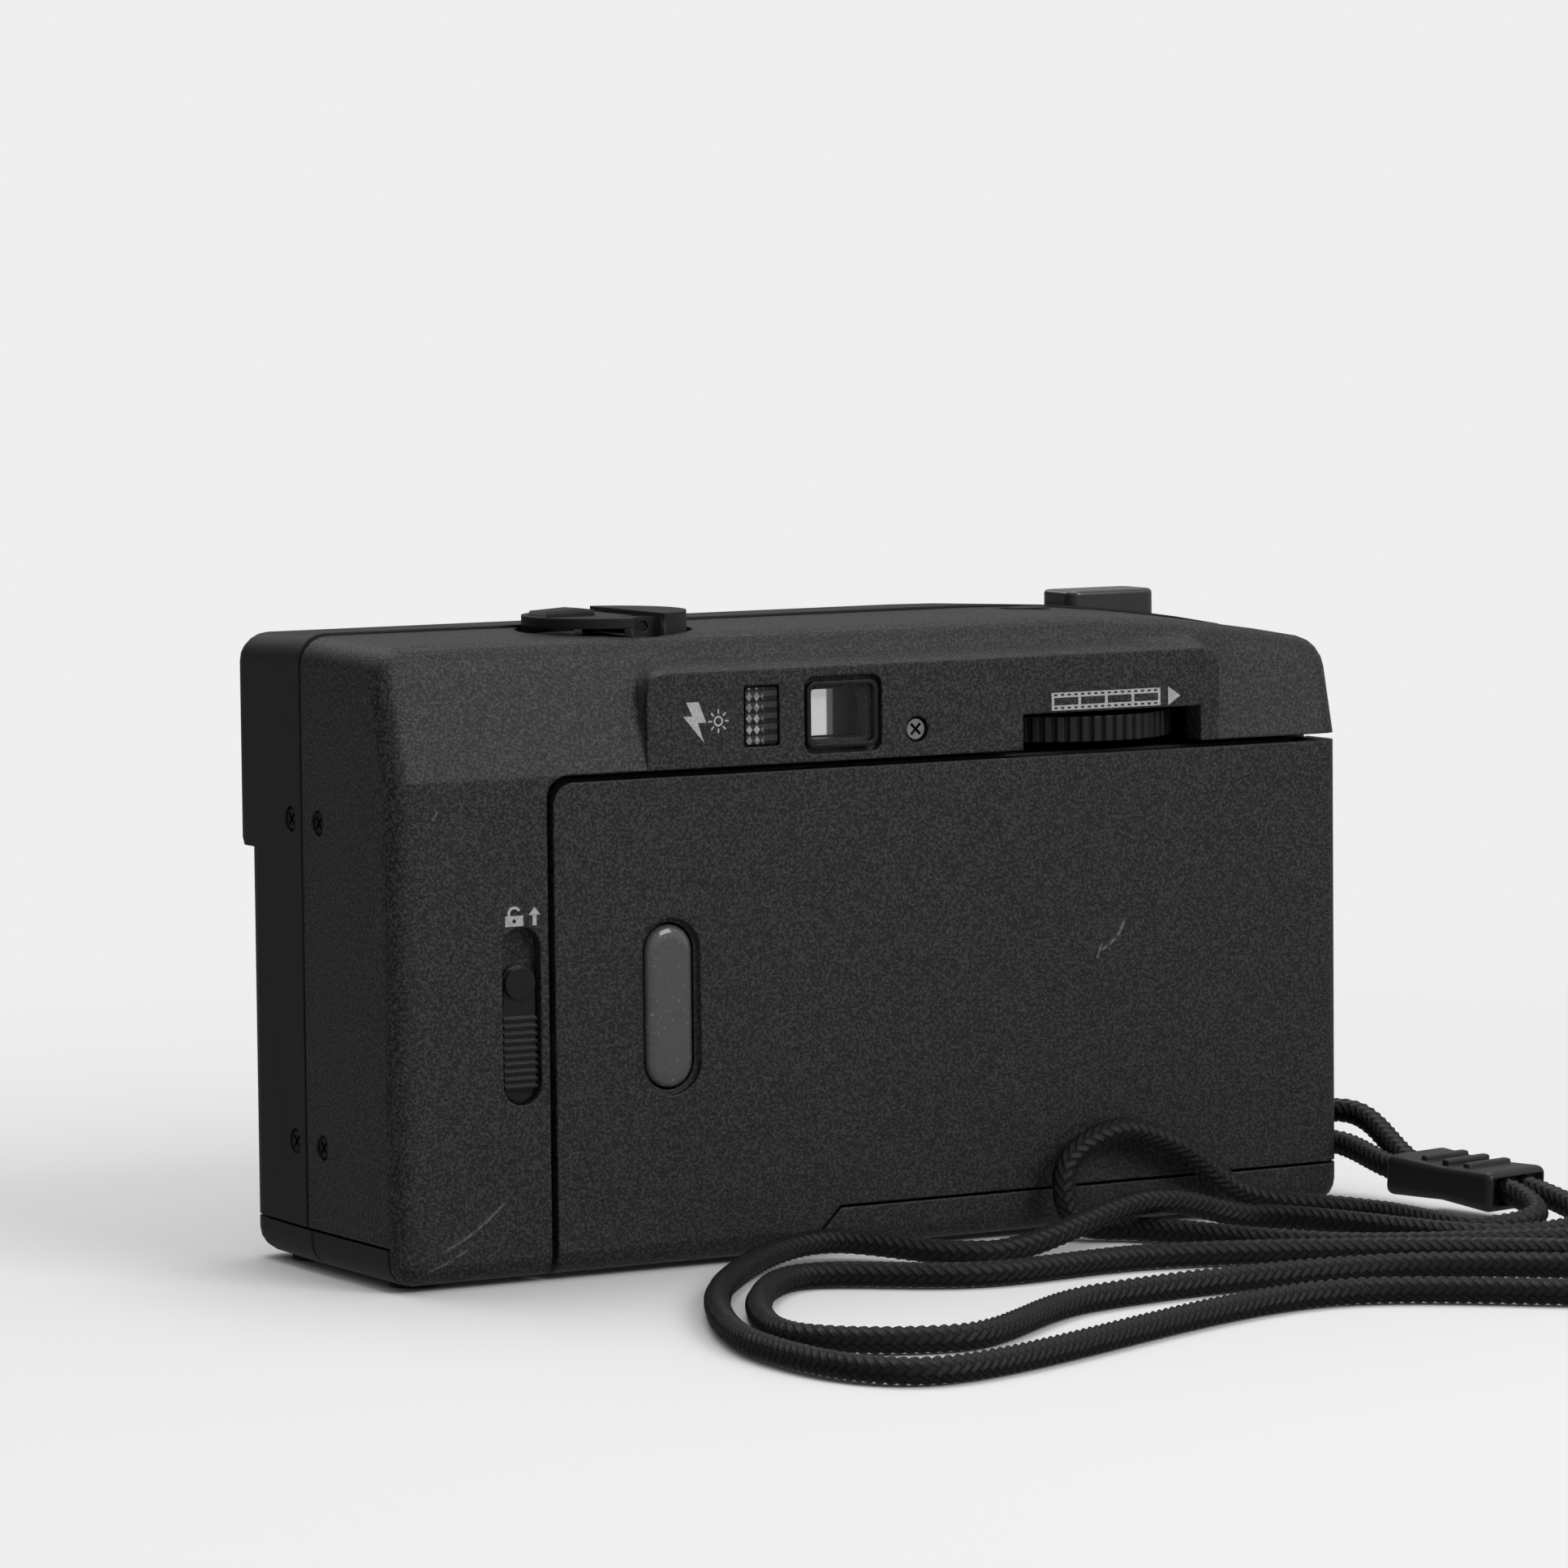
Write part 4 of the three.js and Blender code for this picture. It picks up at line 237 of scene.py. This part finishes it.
cord_mesh = bpy.data.meshes.new("strap_cord")
cord_mesh.from_pydata(corners, [], faces)
for item, share in zip(cord_mesh.uv_layers.new(name="braid").data, shares):
    item.uv = share
cord_mesh.shade_smooth()
cord = bpy.data.objects.new("strap_cord_braided", cord_mesh)
bpy.context.collection.objects.link(cord)


class Wire:
    """A shader socket that plain sums can be written with."""

    def __init__(self, finish, socket):
        self.finish, self.socket = finish, socket

    def maths(self, operation, *others):
        return self.finish.node("ShaderNodeMath", {"operation": operation}, [self, *others])

    def __add__(self, other): return self.maths("ADD", other)
    __radd__ = __add__
    def __sub__(self, other): return self.maths("SUBTRACT", other)
    def __rsub__(self, other): return self.finish.node("ShaderNodeMath", {"operation": "SUBTRACT"}, [other, self])
    def __mul__(self, other): return self.maths("MULTIPLY", other)
    __rmul__ = __mul__
    def __truediv__(self, other): return self.maths("DIVIDE", other)
    def __rtruediv__(self, other): return self.finish.node("ShaderNodeMath", {"operation": "DIVIDE"}, [other, self])
    def __pow__(self, other): return self.maths("POWER", other)
    def __abs__(self): return self.maths("ABSOLUTE")
    def __lt__(self, other): return self.maths("LESS_THAN", other)
    def __gt__(self, other): return self.maths("GREATER_THAN", other)

    def within(self, low, high):
        """0 at low, 1 at high, clamped and eased between."""
        return self.finish.node("ShaderNodeMapRange", {"interpolation_type": "SMOOTHSTEP"},
                                {"Value": self, "From Min": low, "From Max": high})


class Finish:
    """A material built up from one Principled shader."""

    def __init__(self, name, **constants):
        self.material = bpy.data.materials.new(name)
        self.material.use_nodes = True
        self.tree = self.material.node_tree
        self.shader = self.tree.nodes["Principled BSDF"]
        for key, value in constants.items():
            self.shader.inputs[key.replace("_", " ")].default_value = value

    def node(self, kind, settings=None, values=None, out=0):
        made = self.tree.nodes.new(kind)
        for key, value in (settings or {}).items():
            if key == "stops":
                while len(made.color_ramp.elements) < len(value):
                    made.color_ramp.elements.new(0.5)
                for element, (place, colour) in zip(made.color_ramp.elements, value):
                    element.position, element.color = place, colour
            else:
                setattr(made, key, value)
        pairs = values.items() if isinstance(values, dict) else enumerate(values or [])
        for key, value in pairs:
            if isinstance(value, Wire):
                self.tree.links.new(value.socket, made.inputs[key])
            else:
                made.inputs[key].default_value = value
        return Wire(self, made.outputs[out])

    def feed(self, **wires):
        for key, wire in wires.items():
            self.tree.links.new(wire.socket, self.shader.inputs[key.replace("_", " ")])
        return self

    def place(self):
        return self.node("ShaderNodeTexCoord", out="Object")

    def axes(self, vector):
        return [self.node("ShaderNodeSeparateXYZ", None, [vector], out=k) for k in range(3)]

    def noise(self, vector, scale, detail=2.0, rough=0.5):
        return self.node("ShaderNodeTexNoise", None,
                         {"Vector": vector, "Scale": scale, "Detail": detail, "Roughness": rough})

    def mixed(self, share, a, b):
        return self.node("ShaderNodeMix", {"data_type": "RGBA"}, {0: share, 6: a, 7: b}, out=2)

    def bumped(self, height, distance, strength=1.0, under=None):
        values = {"Height": height, "Distance": distance, "Strength": strength}
        if under is not None:
            values["Normal"] = under
        return self.node("ShaderNodeBump", None, values)


def grey(level):
    return (level, level, level * 1.01, 1)


def braided_cord():
    finish = Finish("braided_nylon_painted_shade_and_glint", Specular_IOR_Level=0.45)
    u, v, _ = finish.axes(finish.node("ShaderNodeUVMap", {"uv_map": "braid"}))
    a = u * plaits + v * (1 / plait_pitch)
    b = u * plaits - v * (1 / plait_pitch)
    crossing = ((a.maths("FLOOR") + b.maths("FLOOR")) * 0.25).maths("FRACT") * 4
    other = crossing > 1.5
    second = (crossing - other * 2) > 0.5
    fa, fb = a.maths("FRACT"), b.maths("FRACT")
    across = fa * (1 - other) + fb * other
    lengthways = (fb * (1 - other) + fa * other + second) * 0.5
    threads = (across * (math.tau * 4)).maths("SINE") * 0.5 + 0.5
    crown = (across * math.pi).maths("SINE").maths("ABSOLUTE")
    ends = (lengthways * math.pi).maths("SINE").maths("ABSOLUTE")
    fuzz = finish.noise(finish.place(), 4200, 2)
    height = (crown ** 0.7) * (0.3 + ends * 0.7) + threads * 0.12 + fuzz * 0.15
    # Base colour: painted shade in the gaps between plaits, where low is 0, and a painted glint on the thread crests.
    low = (crown * ends).within(0.05, 0.7)
    painted_glint = low * threads.within(0.3, 0.9) * fuzz.within(0.35, 0.65)
    finish.feed(
        Base_Color=finish.mixed(low, grey(0.0003), finish.mixed(painted_glint, grey(0.003), grey(0.014))),
        Roughness=0.62 - low * 0.2 + fuzz * 0.1,
        Normal=finish.bumped(height, 0.00034, 1.0))
    return finish.material


cord.data.materials.append(braided_cord())
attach(cord, "camera_body")
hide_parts("strap_cord")

# ---------------------------------------------------------------- strap slider
# A flat moulded sleeve that both runs of the cord go through. Three ribs on its upper face
# give the fingers a grip. Satin charcoal plastic, its long edges rounded.
body_of = {node: body for body, nodes in frame["record"]["behaviour"]["bodies"].items() for node in nodes}


def refined(node, finish, angle=33, rounding=0.0):
    """A smooth-shaded copy of a CAD node, its triangles merged, that stands for the node."""
    bpy.ops.object.select_all(action="DESELECT")
    source = frame["nodes"][node]
    piece = bpy.data.objects.new(node + "_finished", source.data.copy())
    bpy.context.collection.objects.link(piece)
    bpy.context.view_layer.objects.active = piece
    piece.select_set(True)
    bpy.ops.object.mode_set(mode="EDIT")
    bpy.ops.mesh.select_all(action="SELECT")
    bpy.ops.mesh.remove_doubles(threshold=2e-6)
    bpy.ops.mesh.dissolve_limited(angle_limit=math.radians(0.4))
    bpy.ops.object.mode_set(mode="OBJECT")
    if rounding:
        bevel = piece.modifiers.new("rounded_edges", "BEVEL")
        bevel.width = rounding
        bevel.segments = 3
        bevel.limit_method = "ANGLE"
        bevel.angle_limit = math.radians(angle)
        bpy.ops.object.modifier_apply(modifier=bevel.name)
    bpy.ops.object.shade_smooth_by_angle(angle=math.radians(angle))
    evened = piece.modifiers.new("evened_shading", "WEIGHTED_NORMAL")
    evened.weight = 100
    evened.keep_sharp = True
    bpy.ops.object.modifier_apply(modifier=evened.name)
    piece.data.materials.clear()
    piece.data.materials.append(finish)
    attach(piece, body_of[node])
    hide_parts(node)
    return piece


def satin_plastic(name, level, rough, grain=0.000010, size=5200, wear=0.35, coat=0.0):
    """Moulded plastic with a fine grain, greyed where handling has polished its edges."""
    finish = Finish(name, Coat_Roughness=0.2, Coat_Weight=coat, Specular_IOR_Level=0.3)
    place = finish.place()
    fine = finish.noise(place, size, 2, 0.6)
    patches = finish.noise(place, 90, 3, 0.6)
    rounded = finish.node("ShaderNodeBevel", {"samples": 6}, {"Radius": 0.00028})
    plain = finish.node("ShaderNodeNewGeometry", out="Normal")
    turned = finish.node("ShaderNodeVectorMath", {"operation": "DOT_PRODUCT"}, [rounded, plain], out="Value")
    edge = (1 - turned).within(0.015, 0.2) * patches.within(0.35, 0.75)
    finish.feed(
        Base_Color=finish.mixed(edge * wear, finish.mixed(patches, grey(level * 0.85), grey(level * 1.15)),
                                grey(level * 2.6 + 0.02)),
        Roughness=rough + patches * 0.1 - edge * 0.12 + fine * 0.06,
        Normal=finish.bumped(fine, grain, 1.0, rounded))
    return finish.material


slider_long, slider_wide, slider_thick = 0.017, 0.0104, 0.005
slider_from, slider_to = Vector((-0.0698, 0.0296, 0.005)), Vector((-0.0736, 0.0465, 0.0042))
bpy.ops.object.select_all(action="DESELECT")
bpy.ops.mesh.primitive_cube_add(size=1)
slider = bpy.context.object
slider.name = "strap_slider_sleeve"
bpy.ops.object.mode_set(mode="EDIT")
bpy.ops.transform.resize(value=(slider_long, slider_wide, slider_thick))
bpy.ops.mesh.subdivide(number_cuts=3)
bpy.ops.object.mode_set(mode="OBJECT")
for corner in slider.data.vertices:
    end = abs(corner.co.x) / (slider_long / 2)
    corner.co.z *= 0.84 + 0.16 * end
    corner.co.y *= 0.9 + 0.1 * end
bevel = slider.modifiers.new("rounded", "BEVEL")
bevel.width = 0.0011
bevel.segments = 4
bevel.limit_method = "ANGLE"
bevel.angle_limit = math.radians(60)
bpy.ops.object.modifier_apply(modifier=bevel.name)
bpy.ops.object.mode_set(mode="EDIT")
bpy.ops.mesh.select_all(action="DESELECT")
bpy.ops.mesh.select_mode(type="FACE")
bpy.ops.object.mode_set(mode="OBJECT")
for face in slider.data.polygons:
    face.select = abs(face.normal.x) > 0.95 and abs(face.center.x) > slider_long / 2 - 0.0003
bpy.ops.object.mode_set(mode="EDIT")
bpy.ops.mesh.inset(thickness=0.00015, depth=0)
bpy.ops.mesh.inset(thickness=0.00005, depth=-0.0012)
bpy.ops.mesh.select_all(action="DESELECT")
bpy.ops.object.mode_set(mode="OBJECT")
for share in (-0.2, 0, 0.2):
    bpy.ops.object.select_all(action="DESELECT")
    bpy.ops.mesh.primitive_cube_add(size=1, location=(share * slider_long, 0, slider_thick / 2 - 0.00012))
    rib = bpy.context.object
    rib.scale = (0.0013, slider_wide - 0.003, 0.0009)
    bpy.ops.object.transform_apply(location=True, rotation=True, scale=True)
    edge = rib.modifiers.new("rounded", "BEVEL")
    edge.width = 0.00035
    edge.segments = 3
    bpy.ops.object.modifier_apply(modifier=edge.name)
    slider.select_set(True)
    bpy.context.view_layer.objects.active = slider
    bpy.ops.object.join()
slider_along = (slider_to - slider_from).normalized()
slider_across = Vector((0, 0, 1)).cross(slider_along).normalized()
slider_up = slider_along.cross(slider_across)
turn = Matrix((slider_along, slider_across, slider_up)).transposed().to_4x4()
turn.translation = (slider_from + slider_to) / 2
slider.data.transform(turn)
bpy.ops.object.shade_smooth_by_angle(angle=math.radians(40))
slider.data.materials.append(satin_plastic("slider_plastic", 0.022, 0.3, 0.000006, 3800, 0.5))
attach(slider, "camera_body")
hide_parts("strap_slider")
cord_line[::5] + [cord_line[-1]]

# ---------------------------------------------------------------- rear shell
# The rear half of the body, moulded in black plastic with a spark-eroded grain. Handling has
# left it scuffed at the lower corner. Screwed to the front half through the battery end.
def grained_plastic(name, level, scuffs=()):
    finish = Finish(name, Specular_IOR_Level=0.35)
    place = finish.place()
    x, y, z = finish.axes(place)
    sand = finish.noise(place, 2900, 3, 0.75)
    patches = finish.noise(place, 60, 3, 0.6)
    rounded = finish.node("ShaderNodeBevel", {"samples": 6}, {"Radius": 0.00035})
    plain = finish.node("ShaderNodeNewGeometry", out="Normal")
    turned = finish.node("ShaderNodeVectorMath", {"operation": "DOT_PRODUCT"}, [rounded, plain], out="Value")
    edge = (1 - turned).within(0.015, 0.2) * patches.within(0.3, 0.7)
    specks = sand.within(0.42, 0.66)
    colour = finish.mixed(
        specks, finish.mixed(patches, grey(level * 0.45), grey(level * 0.6)),
        finish.mixed(patches, grey(level * 3.8), grey(level * 4.6)))
    colour = finish.mixed(edge * 0.35, colour, grey(level * 3))
    rough = 0.44 + patches * 0.06 - specks * 0.12 - edge * 0.1
    broken = finish.noise(place, 900, 2).within(0.3, 0.55)
    for x0, z0, x1, z1, bow, width, strength in scuffs:
        length = math.hypot(x1 - x0, z1 - z0)
        ux, uz = (x1 - x0) / length, (z1 - z0) / length
        along = (x - x0) * ux + (z - z0) * uz
        off = abs((z - z0) * ux - (x - x0) * uz - along * (length - along) * (bow / length ** 2 * 4))
        line = (1 - off.within(width * 0.4, width)) * along.within(0, length * 0.15)
        line = line * (1 - along.within(length * 0.8, length)) * broken * (y > 0.0225)
        colour = finish.mixed(line * strength, colour, grey(0.16))
    finish.feed(Base_Color=colour, Roughness=rough, Normal=finish.bumped(sand, 0.00009, 1.0, rounded))
    return finish.material


rear_plastic = grained_plastic("grained_rear", 0.0105, (
    (0.0587, 0.0045, 0.0496, 0.0105, 0.0006, 0.00022, 0.5),
    (0.0605, 0.0025, 0.0545, 0.0052, 0.0003, 0.0002, 0.4),
    (0.0590, 0.0535, 0.0582, 0.0548, 0.0, 0.00018, 0.45),
))
refined("rear_shell", rear_plastic, 30)

# ---------------------------------------------------------------- front shell
# The front half, moulded in the same black plastic with a finer grain. It carries the lens,
# the flash and the finder window, and meets the rear half at a hairline gap.
front_plastic = satin_plastic("fine_grained_front", 0.0095, 0.42, 0.000022, 3400, 0.4)
refined("front_shell", front_plastic, 30)

# ---------------------------------------------------------------- film door
# The grained door that covers the film. It turns on a steel pin at the shutter end, and has a
# window to see which cassette is in the camera. One curved scratch crosses it.
door_plastic = grained_plastic("grained_door", 0.0105, (
    (-0.0295, 0.0335, -0.0332, 0.0375, 0.0006, 0.00026, 0.75),
    (-0.0290, 0.0325, -0.0298, 0.0345, 0.0, 0.0002, 0.6),
))
refined("film_door", door_plastic, 30)


# ---------------------------------------------------------------- clear pieces
# Moulded acrylic: the cassette pane is smoked, the counter and flash covers are clear.
def clear_plastic(name, level, alpha, rough=0.06, haze=0.0):
    finish = Finish(name, IOR=1.49, Coat_Weight=0.6, Coat_Roughness=0.04)
    place = finish.place()
    marks = finish.noise(place, 700, 4, 0.7)
    dust = finish.noise(place, 2600, 2).within(0.62, 0.75)
    finish.feed(
        Base_Color=finish.mixed(dust * 0.3, finish.mixed(marks, grey(level * 0.9), grey(level * 1.1)), grey(0.4)),
        Roughness=rough + marks.within(0.4, 0.7) * 0.08 + haze,
        Alpha=alpha + marks * 0.05 + dust * 0.05,
        Normal=finish.bumped(marks, 0.00002, 0.4))
    return finish.material


refined("cassette_window", clear_plastic("smoked_pane", 0.085, 0.86, 0.12), 40)
refined("counter_window", clear_plastic("clear_cover", 0.02, 0.25), 30)
refined("flash_window", clear_plastic("flash_cover", 0.55, 0.35, 0.12), 30)
refined("finder_window", clear_plastic("finder_cover", 0.05, 0.3), 30)
refined("eyepiece_lens", clear_plastic("eyepiece_glass", 0.05, 0.12, 0.03), 30)

# ---------------------------------------------------------------- window trims
# The black frame of the eyepiece.
gloss_black = satin_plastic("gloss_black", 0.006, 0.16, 0.000003, 2400, 0.25, 0.4)
refined("eyepiece_frame", gloss_black, 30)

# ---------------------------------------------------------------- ready lamp window
# A clear window with a moulded pattern of small prisms that spreads the lamp behind it. The
# prism peaks on its battery-side part are painted pale as painted light, with painted glints.
def prism_plastic():
    finish = Finish("prism_pane_painted_light", Coat_Weight=0.5, Coat_Roughness=0.08)
    x, y, z = finish.axes(finish.place())
    a = abs((x * (1 / 0.00098) + 0.3).maths("FRACT") - 0.5)
    b = abs((z * (1 / 0.00128) + 0.1).maths("FRACT") - 0.5)
    peak = 1 - a - b
    # Painted light: prism peaks on the battery-side part are painted pale, with painted glints.
    painted_prism_light = peak.within(0.52, 0.62) * x.within(0.0158, 0.0164)
    painted_glint = finish.noise(finish.place(), 900, 2).within(0.35, 0.6)
    finish.feed(
        Base_Color=finish.mixed(painted_prism_light * (0.45 + painted_glint * 0.55), grey(0.004), grey(0.34)),
        Roughness=0.3 - painted_prism_light * 0.12,
        Normal=finish.bumped(peak, 0.0004, 0.9))
    return finish.material


refined("ready_window", prism_plastic(), 30)


# ---------------------------------------------------------------- eyepiece view
# The ground rear glass of the finder, deep in its tube, made a glowing plate. The far scene is
# painted on it as emitted light, bright at the battery side, with painted shade for the dark tube wall at the other.
def painted_finder_glow():
    finish = Finish("painted_finder_glow", Roughness=0.3, Emission_Strength=1.0)
    x, y, z = finish.axes(finish.place())
    # Painted light: emission bright on the battery side, a dim painted strip, and painted shade along the top and at
    # the far side.
    painted_lit_side = x.within(0.00455, 0.0049)
    strip = x.within(0.0037, 0.0041) * (1 - painted_lit_side)
    haze = finish.noise(finish.place(), 300, 2)
    painted_glow_level = painted_lit_side * (0.52 + haze * 0.15 - z.within(0.0645, 0.0652) * 0.12) + strip * 0.09
    finish.feed(
        Base_Color=finish.mixed(painted_lit_side, grey(0.01), grey(0.3)),
        Emission_Color=finish.mixed(painted_glow_level, grey(0.004), grey(1.0)))
    return finish.material


bpy.ops.object.select_all(action="DESELECT")
bpy.ops.mesh.primitive_cube_add(size=1, location=(0.0054, 0.0178, 0.0633))
painted_view_glass = bpy.context.object
painted_view_glass.name = "finder_glass_painted_view"
painted_view_glass.scale = (0.0074, 0.0006, 0.0056)
bpy.ops.object.transform_apply(location=True, rotation=True, scale=True)
edges = painted_view_glass.modifiers.new("rounded", "BEVEL")
edges.width = 0.0001
edges.segments = 2
bpy.ops.object.modifier_apply(modifier=edges.name)
painted_view_glass.data.materials.append(painted_finder_glow())
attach(painted_view_glass, "camera_body")

# ---------------------------------------------------------------- latch
# Sliding door latch: a finely ribbed plastic slide with a round thumb button, on a steel hook.
latch_plastic = satin_plastic("latch_plastic", 0.0045, 0.2, 0.000006, 4800, 1.0, 0.6)
refined("latch_slider", latch_plastic, 30)


# ---------------------------------------------------------------- metal pieces
# Pins, hooks, springs and contacts: pressed or turned steel and brass, lightly brushed.
def brushed_metal(name, colour, rough):
    finish = Finish(name, Metallic=1.0)
    place = finish.place()
    drawn = finish.node("ShaderNodeMapping", None, {"Vector": place, "Scale": (1, 1, 0.05)})
    lines = finish.noise(drawn, 2600, 3, 0.6)
    patches = finish.noise(place, 200, 3)
    finish.feed(
        Base_Color=finish.mixed(patches, tuple(0.8 * c for c in colour) + (1,), tuple(colour) + (1,)),
        Roughness=rough + lines * 0.14,
        Normal=finish.bumped(lines, 0.000012, 0.6))
    return finish.material


steel = brushed_metal("plated_steel", (0.55, 0.56, 0.57), 0.26)
dark_steel = brushed_metal("blackened_steel", (0.035, 0.035, 0.037), 0.36)
bright_steel = brushed_metal("bright_plate", (0.78, 0.78, 0.8), 0.14)
brass = brushed_metal("plain_brass", (0.66, 0.5, 0.24), 0.3)
for node in ("latch_hook", "latch_catch", "hinge_pin", "battery_door_pin", "strap_pin",
             "pressure_spring", "shutter_spring", "shutter_blade", "battery_contact_top"):
    refined(node, steel)
for node in ("side_screw_front_high", "side_screw_front_low", "side_screw_rear_high", "side_screw_rear_low"):
    refined(node, dark_steel)
refined("crank_pin", dark_steel)


def screw_steel_painted_slot_shade():
    finish = Finish("screw_steel_painted_slot_shade", Metallic=1.0)
    x, y, z = finish.axes(finish.place())
    # Painted shade: below the head face, down in the cross slot, the colour is near black.
    face = y.within(0.02262, 0.02274)
    turned = finish.noise(finish.place(), 1600, 2)
    finish.feed(
        Base_Color=finish.mixed(face, grey(0.02), finish.mixed(turned, grey(0.3), grey(0.5))),
        Roughness=0.26 + turned * 0.1,
        Normal=finish.bumped(turned, 0.00003, 0.5))
    return finish.material


refined("rear_screw", screw_steel_painted_slot_shade())
refined("flash_reflector", bright_steel)
for node in ("battery_contact_door", "tripod_socket"):
    refined(node, brass)

# ---------------------------------------------------------------- inner pieces
# Chassis, spools and lamp parts that show once the film door or the battery door is open.
inner_black = satin_plastic("inner_black", 0.008, 0.5, 0.00001, 5200, 0.3)
for node in ("chassis", "battery_box", "pressure_plate", "finder_tube", "takeup_spool", "sprocket",
             "rewind_fork", "shutter_plate", "flash_switch", "rewind_release_button", "flash_capacitor"):
    refined(node, inner_black, 28)
refined("advance_wheel", satin_plastic("wheel_plastic", 0.012, 0.24, 0.000008, 3200, 1.0, 0.3), 20)
refined("battery_door", satin_plastic("battery_door_plastic", 0.0095, 0.42, 0.000022, 3400, 0.45), 30)
refined("flash_tube", clear_plastic("flash_glass", 0.6, 0.8))
refined("ready_lamp", clear_plastic("lamp_glass", 0.3, 0.9))
refined("circuit_board", satin_plastic("board_lacquer", 0.03, 0.3, 0.000006, 2600, 0.2))
refined("counter_dial", satin_plastic("dial_white", 0.5, 0.4, 0.000006, 2600, 0.1))
for node in ("battery_rear", "battery_front"):
    refined(node, brushed_metal("cell_jacket", (0.3, 0.31, 0.33), 0.3))

# ---------------------------------------------------------------- feet
# Four soft black rubber discs glued into pockets under the corners.
rubber = satin_plastic("foot_rubber", 0.012, 0.8, 0.00003, 2600, 0.6)
for node in ("foot_battery_end_rear", "foot_battery_end_front", "foot_shutter_end_rear", "foot_shutter_end_front"):
    refined(node, rubber)

# ---------------------------------------------------------------- rewind crank
# The rewind knob and its folding crank, moulded in black plastic and worn on the rim.
knob_plastic = satin_plastic("knob_plastic", 0.011, 0.42, 0.00002, 3000, 0.9)
refined("rewind_knob", knob_plastic, 30)
refined("rewind_crank", knob_plastic, 30)

# ---------------------------------------------------------------- shutter button
# A tall polished black key, its edges rounded.
refined("shutter_button", satin_plastic("button_plastic", 0.03, 0.2, 0.000004, 2400, 0.8, 0.9), 30, 0.0005)

# ---------------------------------------------------------------- lens
# The lens ring and its two coated glasses.
refined("lens_barrel", front_plastic, 30)


def coated_glass():
    finish = Finish("coated_glass", IOR=1.6, Coat_Weight=0.8, Coat_Roughness=0.03)
    smears = finish.noise(finish.place(), 300, 3)
    finish.feed(
        Base_Color=finish.mixed(smears, (0.015, 0.01, 0.04, 1), (0.03, 0.02, 0.06, 1)),
        Roughness=0.04 + smears * 0.05,
        Alpha=0.55 + smears * 0.1)
    return finish.material


lens_glass = coated_glass()
refined("front_element", lens_glass, 40)
refined("rear_element", lens_glass, 40)


# ---------------------------------------------------------------- printed signs
# Pale grey signs printed on the plastic: a flash bolt and lamp by the ready window, a film
# strip with an arrow over the advance wheel, and an open lock with an arrow over the latch.
def printed_ink():
    finish = Finish("printed_ink", Specular_IOR_Level=0.3)
    speckle = finish.noise(finish.place(), 4200, 2)
    thin = finish.noise(finish.place(), 700, 2)
    finish.feed(
        Base_Color=finish.mixed(speckle.within(0.35, 0.6) * 0.5 + thin * 0.3, grey(0.28), grey(0.48)),
        Roughness=0.5 + speckle * 0.15)
    return finish.material


ink = printed_ink()


def printed(name, shapes, face_y, body):
    """Closed outlines in X and Z, in millimetres as seen from behind, made a thin film of ink."""
    bpy.ops.object.select_all(action="DESELECT")
    line = bpy.data.curves.new(name, "CURVE")
    line.dimensions = "2D"
    line.fill_mode = "BOTH"
    line.extrude = 0.000008
    for shape in shapes:
        spline = line.splines.new("POLY")
        spline.points.add(len(shape) - 1)
        for point, (x, z) in zip(spline.points, shape):
            point.co = (-x / 1000, z / 1000, 0, 1)
        spline.use_cyclic_u = True
    sign = bpy.data.objects.new(name, line)
    bpy.context.collection.objects.link(sign)
    bpy.context.view_layer.objects.active = sign
    sign.select_set(True)
    bpy.ops.object.convert(target="MESH")
    sign = bpy.context.object
    sign.data.transform(Matrix(((-1, 0, 0, 0), (0, 0, 1, face_y), (0, 1, 0, 0), (0, 0, 0, 1))))
    sign.data.materials.clear()
    sign.data.materials.append(ink)
    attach(sign, body)
    return sign


def ring(cx, cz, radius, sides=24):
    return [(cx + radius * math.cos(math.tau * i / sides), cz + radius * math.sin(math.tau * i / sides))
            for i in range(sides)]


def bar(x0, x1, z0, z1):
    return [(x0, z0), (x1, z0), (x1, z1), (x0, z1)]


panel_face = 0.02321
bolt = [(26.2, 65.5), (24.6, 65.5), (23.6, 63.1), (24.7, 63.1), (23.9, 60.8), (26.6, 63.9), (25.4, 63.9)]
lamp = [ring(22.0, 63.2, 0.62), ring(22.0, 63.2, 0.4)]
rays = []
for i in range(8):
    turn = math.tau * i / 8
    c, s = math.cos(turn), math.sin(turn)
    rays.append([(22.0 + c * r - s * w, 63.2 + s * r + c * w) for r, w in ((0.85, -0.1), (1.35, -0.1), (1.35, 0.1), (0.85, 0.1))])
printed("sign_flash_ready", [bolt, *lamp, *rays], panel_face, "camera_body")
strip = [bar(-23.0, -38.2, 62.35, 64.45)]
for i in range(4):
    strip.append(bar(-23.35 - i * 3.72, -26.7 - i * 3.72, 62.95, 63.85))
for i in range(16):
    strip.append(bar(-23.35 - i * 0.93, -23.8 - i * 0.93, 62.5, 62.75))
    strip.append(bar(-23.35 - i * 0.93, -23.8 - i * 0.93, 64.05, 64.3))
printed("sign_film_advance", [*strip, [(-39.3, 62.3), (-39.3, 64.5), (-41.0, 63.4)]], panel_face, "camera_body")
lock = [bar(49.9, 47.6, 41.1, 42.3), ring(48.75, 41.7, 0.25, 12)]
shackle = [(49.6 - 0.0, 42.3), (49.6, 42.8), (49.3, 43.25), (48.75, 43.4), (48.2, 43.25), (47.95, 42.9), (48.25, 42.8),
           (48.45, 43.0), (48.75, 43.1), (49.05, 43.0), (49.25, 42.75), (49.25, 42.3)]
arrow = [(46.9, 42.3), (46.4, 42.3), (46.4, 41.1), (45.9, 41.1), (45.9, 42.3), (45.4, 42.3), (46.15, 43.2)]
printed("sign_open", [*lock, shackle, arrow], panel_face, "camera_body")
